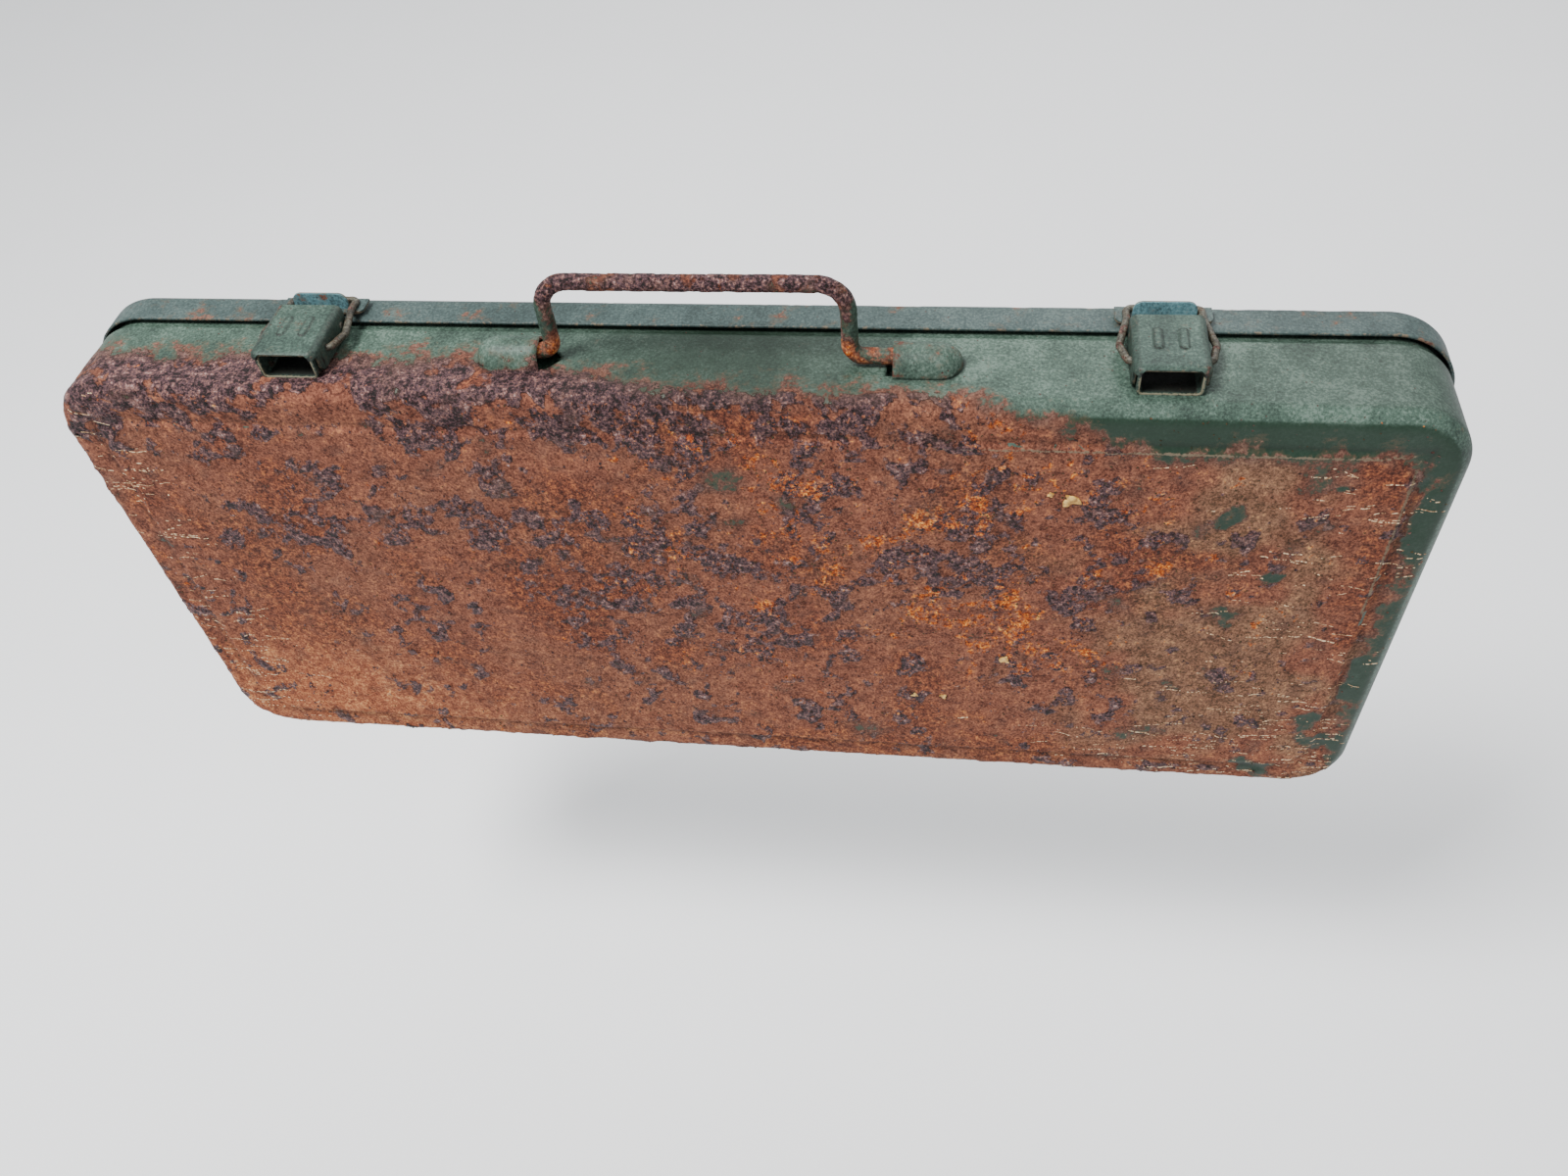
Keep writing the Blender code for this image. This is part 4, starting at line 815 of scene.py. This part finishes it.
for x, z, size in ((103, 145, 2.6), (97, 147, 0.8), (88, 70, 1.9), (68, 48, 1.3), (58, 48, 1.0)):
    faces += tube_faces(2, corners, len(points))
    for y in (FACE_Y - PANEL_RISE + 0.08 * mm, FACE_Y - PANEL_RISE + 0.9 * mm):
        for j in range(corners):
            a = 2 * pi * j / corners
            reach = size * (0.75 + 0.9 * noise.noise(Vector((x + 1.3 * cos(a), z + 1.3 * sin(a), 4.2)))) * mm
            points.append((x * mm + 1.15 * reach * cos(a), y, z * mm + reach * sin(a)))
chips = mesh_piece("cream_chips", points, faces, cream, smooth=False)
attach(chips, "case")

# ---------------------------------------------------------------- carrying handle
# One length of 5 mm steel wire, bent cold into a bail with its two feet turned outwards into the
# pockets, where it swings. It has rusted purple-brown, with green paint left on the legs.
WIRE = 5 * mm
HANDLE_Y, HANDLE_Z, HANDLE_TOP = POCKET_Y, TOP_Z + 3.0 * mm, TOP_Z + 27.0 * mm
LEFT_LEG, RIGHT_LEG, FOOT = -47.35 * mm, 39.35 * mm, 16.5 * mm


def smooth_route(corners, bends, spacing):
    """Even points along a wire through corners, each inner one bent to its radius."""
    corners = [Vector(corner) for corner in corners]
    route = [corners[0]]
    for i, radius in enumerate(bends, 1):
        before = (corners[i - 1] - corners[i]).normalized()
        after = (corners[i + 1] - corners[i]).normalized()
        half = before.angle(after) / 2
        middle = corners[i] + (before + after).normalized() * (radius / sin(half))
        first = corners[i] + before * (radius * cos(half) / sin(half)) - middle
        last = corners[i] + after * (radius * cos(half) / sin(half)) - middle
        sweep = first.angle(last)
        for step in range(17):
            share = step / 16
            route.append(middle + (first * sin((1 - share) * sweep) + last * sin(share * sweep)) / sin(sweep))
    route.append(corners[-1])
    lengths = [0.0]
    for a, b in zip(route, route[1:]):
        lengths.append(lengths[-1] + (b - a).length)
    count = round(lengths[-1] / spacing)
    runs = [lengths[-1] * i / count for i in range(count + 1)]
    return [Vector([float(np.interp(run, lengths, [point[axis] for point in route])) for axis in range(3)])
            for run in runs]


def wire_piece(name, route, diameter, sides, relief, end=0.5):
    """A round wire along a route with rounded ends. relief gives how far each point sinks."""
    heading = (route[1] - route[0]).normalized()
    side = heading.orthogonal().normalized()
    points, spokes = [], []
    total, radius = len(route), diameter / 2
    rings = [(point, 1.0, i) for i, point in enumerate(route)]
    rings = [(route[0], 1 - end, 0)] + rings + [(route[-1], 1 - end, total - 1)]
    for k, (point, share, i) in enumerate(rings):
        ahead = (route[min(i + 1, total - 1)] - route[max(i - 1, 0)]).normalized()
        side = (side - ahead * side.dot(ahead)).normalized()
        other = ahead.cross(side)
        inwards = 0
        if k == 1:
            inwards = radius * end * 0.6
        if k == len(rings) - 2:
            inwards = -radius * end * 0.6
        for j in range(sides):
            spoke = side * cos(2 * pi * j / sides) + other * sin(2 * pi * j / sides)
            points.append(point + ahead * inwards + spoke * radius * share)
            spokes.append(spoke)
    points, spokes = np.array(points), np.array(spokes)
    points -= spokes * relief(points)[:, None]
    return mesh_piece(name, points, tube_faces(len(rings), sides))


def handle_relief(points):
    """Scaly rust on the wire: shallow plates and pits."""
    return mm * np.clip(0.09 - 0.10 * fade(-0.05, 0.15, lumps(points, 5 * mm, 4, 2.0))
                        + 0.14 * fade(0.1, 0.4, lumps(points, 2.6 * mm, 3, 6.0)), 0, 0.3)


route = smooth_route([
    (LEFT_LEG - FOOT, HANDLE_Y, HANDLE_Z), (LEFT_LEG, HANDLE_Y, HANDLE_Z), (LEFT_LEG, HANDLE_Y, HANDLE_TOP),
    (RIGHT_LEG, HANDLE_Y, HANDLE_TOP), (RIGHT_LEG, HANDLE_Y, HANDLE_Z),
    (RIGHT_LEG + FOOT, HANDLE_Y, HANDLE_Z),
], [4.0 * mm, 8.5 * mm, 8.5 * mm, 4.0 * mm], 0.7 * mm)
handle = wire_piece("handle_wire", route, WIRE, 32, handle_relief)
points = places_of(handle)
x, y, z = points.T
outer_leg = (fade(3 * mm, 0, np.minimum(x - LEFT_LEG + WIRE / 2, RIGHT_LEG + WIRE / 2 - x))
             * fade(HANDLE_TOP - 1 * mm, HANDLE_TOP - 7 * mm, z))
low_part = fade(HANDLE_Z + 11 * mm, HANDLE_Z + 3 * mm, z)
ragged = lumps(points, 5 * mm, 5, 3.0)
legs = fade(HANDLE_TOP - 4 * mm, HANDLE_TOP - 9 * mm, z) * (1 - 0.8 * low_part)
painted = 0.85 * outer_leg * (1 - 0.6 * low_part)
set_field(handle, "rust", np.clip(1.0 + 0.5 * ragged - painted - 0.5 * legs, 0, 1))
set_field(handle, "plates", np.clip(0.85 + 0.4 * ragged - 0.9 * low_part, 0, 1))
set_field(handle, "ember", np.clip(low_part + 0.1, 0, 1))
set_field(handle, "tan", 0.75 * low_part)
# Cold drawn wire under the same paint: flakes of 1.3 mm, since a thin bar scales finer than sheet.
handle.data.materials.append(rusted_paint(
    "rusted_cold_drawn_wire", ("#18231c", "#223028", "#2a3a30", "#3f5145"), flake_size=1.3 * mm))
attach(handle, "carry_handle")
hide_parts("handle")

# ---------------------------------------------------------------- draw latches
# Each latch is folded from 0.9 mm sheet: a channel-shaped bracket spot welded to the top wall, a
# ribbed lever that turns on a rivet through the bracket's ears, and a wire bail that the lever
# pulls tight over the tongue of a strike on the lid.
LATCH_SHEET = 0.9 * mm


def folded(name, grid, material, bevel, wear_reach):
    """A sheet piece from a grid of points on its outside, thickened inwards, with its cut edges eased
    and worn, the more so the nearer a point is to one."""
    rows, columns = len(grid), len(grid[0])
    mesh = bpy.data.meshes.new(name)
    mesh.from_pydata([tuple(point) for row in grid for point in row], [], grid_faces(rows, columns))
    piece = bpy.data.objects.new(name, mesh)
    bpy.context.scene.collection.objects.link(piece)
    mesh.materials.append(material)
    thicken = piece.modifiers.new("sheet", "SOLIDIFY")
    thicken.thickness, thicken.offset = LATCH_SHEET, -1
    ease = piece.modifiers.new("eased_edges", "BEVEL")
    ease.width, ease.segments, ease.limit_method, ease.angle_limit = bevel, 2, "ANGLE", radians(50)
    bake(piece)
    piece.data.shade_smooth()
    piece.data.set_sharp_from_angle(angle=radians(40))
    edges = [point for j, row in enumerate(grid) for i, point in enumerate(row)
             if i in (0, columns - 1) or j in (0, rows - 1)]
    tree = kdtree.KDTree(len(edges))
    for i, point in enumerate(edges):
        tree.insert(point, i)
    tree.balance()
    away = np.array([tree.find(vertex.co)[2] for vertex in piece.data.vertices])
    set_field(piece, "wear_and_highlight", 0.8 * np.exp(-np.clip(away - 0.3 * mm, 0, None) / wear_reach))
    return piece


def quarter(steps):
    return [pi / 2 * i / steps for i in range(steps + 1)]


def cap_grid(centre, half, top, bend, stations, across, lift):
    """Rows of points over a cap with flanges: stations lists (y, bottom of the flanges)."""
    rows = []
    for y, bottom in stations:
        side = [(half, bottom + (top - bend - bottom) * i / 5) for i in range(5)]
        side += [(half - bend * (1 - cos(t)), top - bend * (1 - sin(t))) for t in quarter(5)]
        flat = [((half - bend) * (1 - 2 * i / across), top) for i in range(1, across)]
        row = side + flat + [(-a, b) for a, b in side[::-1]]
        rows.append([(centre + a, y, b + lift(a, y)) for a, b in row])
    return rows


def capsule(a, y, x, middle, half_run, radius):
    """Distance outside a straight rounded slot that runs along Y."""
    run = max(0.0, abs(y - middle) - half_run)
    return sqrt((a - x) ** 2 + run ** 2) - radius


# Enamel on parts that are handled: smoother green, rubbed to brown steel along its cut edges.
latch_enamel = rusted_paint("worn_light_green_enamel", ("#24302b", "#314139", "#394b42", "#4f6157"),
                            bare="#4f3a2c", flake_size=1.6 * mm)
# The channel under them is chipped back to its pale primer, and painted dark inside as shade.
bracket_enamel = rusted_paint("chipped_bracket_enamel", ("#26322c", "#36463e", "#415248", "#5b6b60"),
                              bare="#6f6a56", flake_size=1.6 * mm)
# The tongues' green enamel is tinted blue and lightened as a painted reflection of the pale sky. They are the
# least rusty parts of the case.
sky_tinted_strike_enamel = rusted_paint("green_enamel_tinted_as_painted_sky_reflection", ("#35494c", "#4a6a6f", "#547a80", "#6c8f93"),
                             bare="#40372f", flake_size=1.6 * mm)
# Bare spring wire and rivets gone brown: duller than new steel, glossier than the paint.
bail_steel = rusted_paint("oxidised_spring_wire", ("#1f1c17", "#35312a", "#454339", "#625f54"),
                          bare="#5f5346", gloss=0.45, flake_size=1.2 * mm)
rivet_steel = rusted_paint("dull_rivet_steel", ("#2a2620", "#45413a", "#5a564d", "#7b776c"),
                           gloss=0.4, flake_size=1.2 * mm)

for word in ("left", "right"):
    low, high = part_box("latch_bracket_" + word)
    x = (low.x + high.x) / 2
    # bracket: floor and two ears
    half, ear_y, ear_z, ear, fold = 8 * mm, PARTING_Y - 5.2 * mm, TOP_Z + 4.6 * mm, 2.4 * mm, 1.0 * mm
    rows = []
    for i in range(40):
        y = low.y + (high.y - low.y) * i / 39
        tall = TOP_Z + 7 * mm if y < ear_y else ear_z + sqrt(max(0.0, ear ** 2 - (y - ear_y) ** 2))
        side = [(half, tall + (low.z + fold - tall) * k / 8) for k in range(8)]
        side += [(half - fold * (1 - cos(t)), low.z + fold * (1 - sin(t))) for t in quarter(4)]
        bed = [(half * (0.85 - 0.17 * k), low.z) for k in range(1, 10)]
        row = side + bed + [(-a, b) for a, b in side[::-1]]
        rows.append([(x - a, y, b) for a, b in row])
    bracket = folded("latch_channel_" + word, rows, bracket_enamel, 0.12 * mm, 0.5 * mm)
    points = places_of(bracket)
    # Painted shade: darkest inside the channel, less dark outside, and none on its worn edges.
    deep = (np.abs(points[:, 0] - x) < half - 0.7 * mm)
    wear_and_highlight = field_of(bracket, "wear_and_highlight")
    set_field(bracket, "painted_shade_and_grime", np.where(deep, 0.93, 0.35) * (1 - np.clip(1.3 * wear_and_highlight, 0, 1)))
    set_field(bracket, "rust", np.clip(0.08 + 0.5 * lumps(points, 4 * mm, 4, 5.0), 0, 1))
    set_field(bracket, "plates", np.full(len(points), 0.6))
    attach(bracket, "case")
    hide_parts("latch_bracket_" + word)

    # lever: ribbed cap with a flange down each side
    low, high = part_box("latch_lever_" + word)
    half, top, bend, heel = (high.x - low.x) / 2, TOP_Z + 8.3 * mm, 0.95 * mm, 3.7 * mm
    front, flange, toe = low.y, PARTING_Y - 23.0 * mm, 2.6 * mm
    foot = ear_z - heel
    stations = [(front + 0.35 * mm * i, top - bend - 0.25 * mm) for i in range(4)]
    stations += [(flange - 0.02 * mm, top - bend - 0.25 * mm)]
    stations += [(flange + toe * (1 - cos(t)), foot + toe * (1 - sin(t))) for t in quarter(6)]
    stations += [(flange + toe + (ear_y - flange - toe) * i / 16, foot) for i in range(1, 17)]
    for i in range(1, 9):
        y = ear_y + (high.y - ear_y) * i / 8
        stations.append((y, ear_z - sqrt(max(0.0, heel ** 2 - (y - ear_y) ** 2))))
    rib_y = PARTING_Y - 12 * mm

    def off_ribs(a, y):
        return min(capsule(a, y, side * 3.4 * mm, rib_y, 3.25 * mm, 1.0 * mm) for side in (-1, 1))

    def lift(a, y):
        crown = 0.0 if y > front + 1.6 * mm else -0.45 * mm * (1 - (y - front) / (1.6 * mm)) ** 2
        return 0.4 * mm * float(fade(0.35 * mm, -0.25 * mm, off_ribs(a, y))) + crown

    fine = [stations[0]]
    for station in stations[1:]:
        start = fine[-1]
        run, drop = station[0] - start[0], station[1] - start[1]
        steps = max(1, round(run / (0.4 * mm)))
        fine += [(start[0] + run * i / steps, start[1] + drop * i / steps) for i in range(1, steps + 1)]
    corner = flange - front
    grid = cap_grid(x, half, top, bend, fine, 44, lift)
    for row in grid:
        squeeze = max(0.0, corner - (row[0][1] - front))
        narrow = corner - sqrt(max(0.0, corner ** 2 - squeeze ** 2))
        for i, (px, py, pz) in enumerate(row):
            row[i] = (x + (px - x) * (half - narrow) / half, py, pz)
    lever = folded("latch_lever_cap_" + word, grid, latch_enamel, 0.12 * mm, 0.55 * mm)
    points = places_of(lever)
    ribs = np.array([off_ribs(a - x, b) for a, b, c in points])
    on_top = points[:, 2] > top - 0.5 * mm
    flank = np.abs(points[:, 0] - x) > half - 1.0 * mm
    inside = (np.abs(points[:, 0] - x) < half - 0.6 * mm) & ~on_top
    slot = np.hypot((points[:, 1] - (PARTING_Y - 20.8 * mm)) / 0.45,
                    (points[:, 2] - (TOP_Z + 3.6 * mm)) / 1.7)
    # Painted shade: dark lines round the foot of each rib, the cap dark underneath, a dark slot painted on
    # each flange, and the flanges darker overall.
    set_field(lever, "painted_shade_and_grime", np.clip(0.95 * hump((ribs - 0.25 * mm, 0.28 * mm)) * on_top
                                      + 0.9 * inside + 1.2 * flank * fade(1.1 * mm, 0.7 * mm, slot)
                                      + 0.35 * flank, 0, 1))
    set_field(lever, "rust", np.clip(-0.05 + 0.35 * lumps(points, 5 * mm, 4, 1.0)
                                     + 0.15 * fade(3 * mm, 0, points[:, 1] - front) + 0.2 * flank, 0, 1))
    set_field(lever, "plates", np.full(len(points), 0.7))
    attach(lever, "lever_" + word)
    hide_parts("latch_lever_" + word)

    # bail: wire loop from the lever's flanges round behind the tongue
    bail_y, bail_z = PARTING_Y - 16.6 * mm, TOP_Z + 5.2 * mm
    bar_y, bar_z = PARTING_Y + 8.45 * mm, TOP_Z + 3.8 * mm
    side = [(half - 0.75 * mm, bail_y, bail_z), (half + 1.9 * mm, bail_y, bail_z),
            (half + 3.7 * mm, PARTING_Y - 9 * mm, bail_z - 0.8 * mm),
            (half + 1.1 * mm, PARTING_Y + 3 * mm, bar_z + 0.5 * mm),
            (half + 1.1 * mm, bar_y, bar_z)]
    corners = [(x + a, b, c) for a, b, c in side] + [(x - a, b, c) for a, b, c in side[::-1]]
    route = smooth_route(corners, [b * mm for b in (1.5, 3.5, 3.5, 1.8, 1.8, 3.5, 3.5, 1.5)], 0.45 * mm)
    bail = wire_piece("latch_bail_wire_" + word, route, 2.2 * mm, 20,
                      lambda points: mm * 0.07 * fade(0.0, 0.4, lumps(points, 1.8 * mm, 3, 4.0)))
    points = places_of(bail)
    set_field(bail, "rust", np.clip(0.22 + 0.6 * lumps(points, 4 * mm, 4, 7.0), 0, 1))
    set_field(bail, "plates", np.full(len(points), 0.95))
    bail.data.materials.append(bail_steel)
    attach(bail, "bail_" + word)
    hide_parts("latch_bail_" + word)

    # strike: base plate on the lid with a tongue folded up from it
    low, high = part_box("latch_strike_" + word)
    half, tongue, tongue_y = (high.x - low.x) / 2, 8.8 * mm, PARTING_Y + 6 * mm
    corner, rounding = 2.5 * mm, 2.6 * mm
    rows = []
    for i in range(19):
        y = low.y + (high.y - low.y) * i / 18
        cut = max(0.0, corner - (y - low.y))
        wide = half - (corner - sqrt(max(0.0, corner ** 2 - cut ** 2)))
        rows.append([(x - wide + 2 * wide * k / 30, y, low.z + LATCH_SHEET) for k in range(31)])
    plate = folded("strike_base_" + word, rows[::-1], lid_enamel, 0.15 * mm, 0.6 * mm)
    rows = []
    for i in range(21):
        share = i / 20
        z = low.z + 0.5 * mm + (high.z - low.z - 0.5 * mm) * share
        cut = max(0.0, rounding - (high.z - z))
        wide = tongue - (rounding - sqrt(max(0.0, rounding ** 2 - cut ** 2)))
        y = tongue_y - 0.45 * mm + 0.6 * mm * share
        rows.append([(x - wide + 2 * wide * k / 28, y, z) for k in range(29)])
    hook = folded("strike_tongue_" + word, rows[::-1], sky_tinted_strike_enamel, 0.2 * mm, 0.55 * mm)
    for piece in (plate, hook):
        points = places_of(piece)
        set_field(piece, "rust", np.clip(0.12 + 0.5 * lumps(points, 5 * mm, 4, 4.4), 0, 1))
        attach(piece, "lid")
    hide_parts("latch_strike_" + word)

    # pin: rivet through both flanges, its heads peened over
    low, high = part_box("latch_pin_" + word)
    reach = (high.x - low.x) / 2
    profile = [(a * mm - reach, r * mm) for a, r in (
        (0, 0.01), (0, 0.7), (0.15, 1.2), (0.45, 1.7), (0.7, 1.8), (0.72, 1.0))]
    profile += [(-a, r) for a, r in profile[::-1]]
    points = [(x + a, ear_y + r * cos(2 * pi * j / 24), ear_z + r * sin(2 * pi * j / 24))
              for a, r in profile for j in range(24)]
    pin = mesh_piece("latch_rivet_" + word, points, tube_faces(len(profile), 24), rivet_steel)
    pin.data.set_sharp_from_angle(angle=radians(50))
    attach(pin, "case")
    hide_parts("latch_pin_" + word)

# ---------------------------------------------------------------- hinges, rails and tray
# Folded sheet leaves on wire pins along the bottom edge, and a lift-out tray of thinner sheet with
# folded dividers and wire pulls, which rests on an angle rail at each end of the deep shell.
# Hinges stand in the wet, so the same enamel with more rust; the tray's is sheltered and greener.
hinge_enamel = rusted_paint(
    "rusted_green_hinge_enamel", ("#26322b", "#34443b", "#3e5046", "#55665c"), spread=0.45)
tray_enamel = rusted_paint(
    "sheltered_green_enamel", ("#29392f", "#375042", "#415c4d", "#557060"), spread=0.15)
# Bright drawn wire gone dull: the palest and glossiest steel here, with rust starting on it.
pull_steel = rusted_paint(
    "dull_pull_wire", ("#38352f", "#54514a", "#68665d", "#87857b"), spread=0.25, gloss=0.4)
for name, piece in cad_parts.items():
    if name.startswith(("hinge_case_leaf", "hinge_lid_leaf")):
        finish = hinge_enamel
    elif name.startswith(("hinge_pin", "hinge_rivet", "tray_pull")):
        finish = pull_steel
    elif name.startswith("tray"):
        finish = tray_enamel
    else:
        continue
    piece.data.materials.clear()
    piece.data.materials.append(finish)
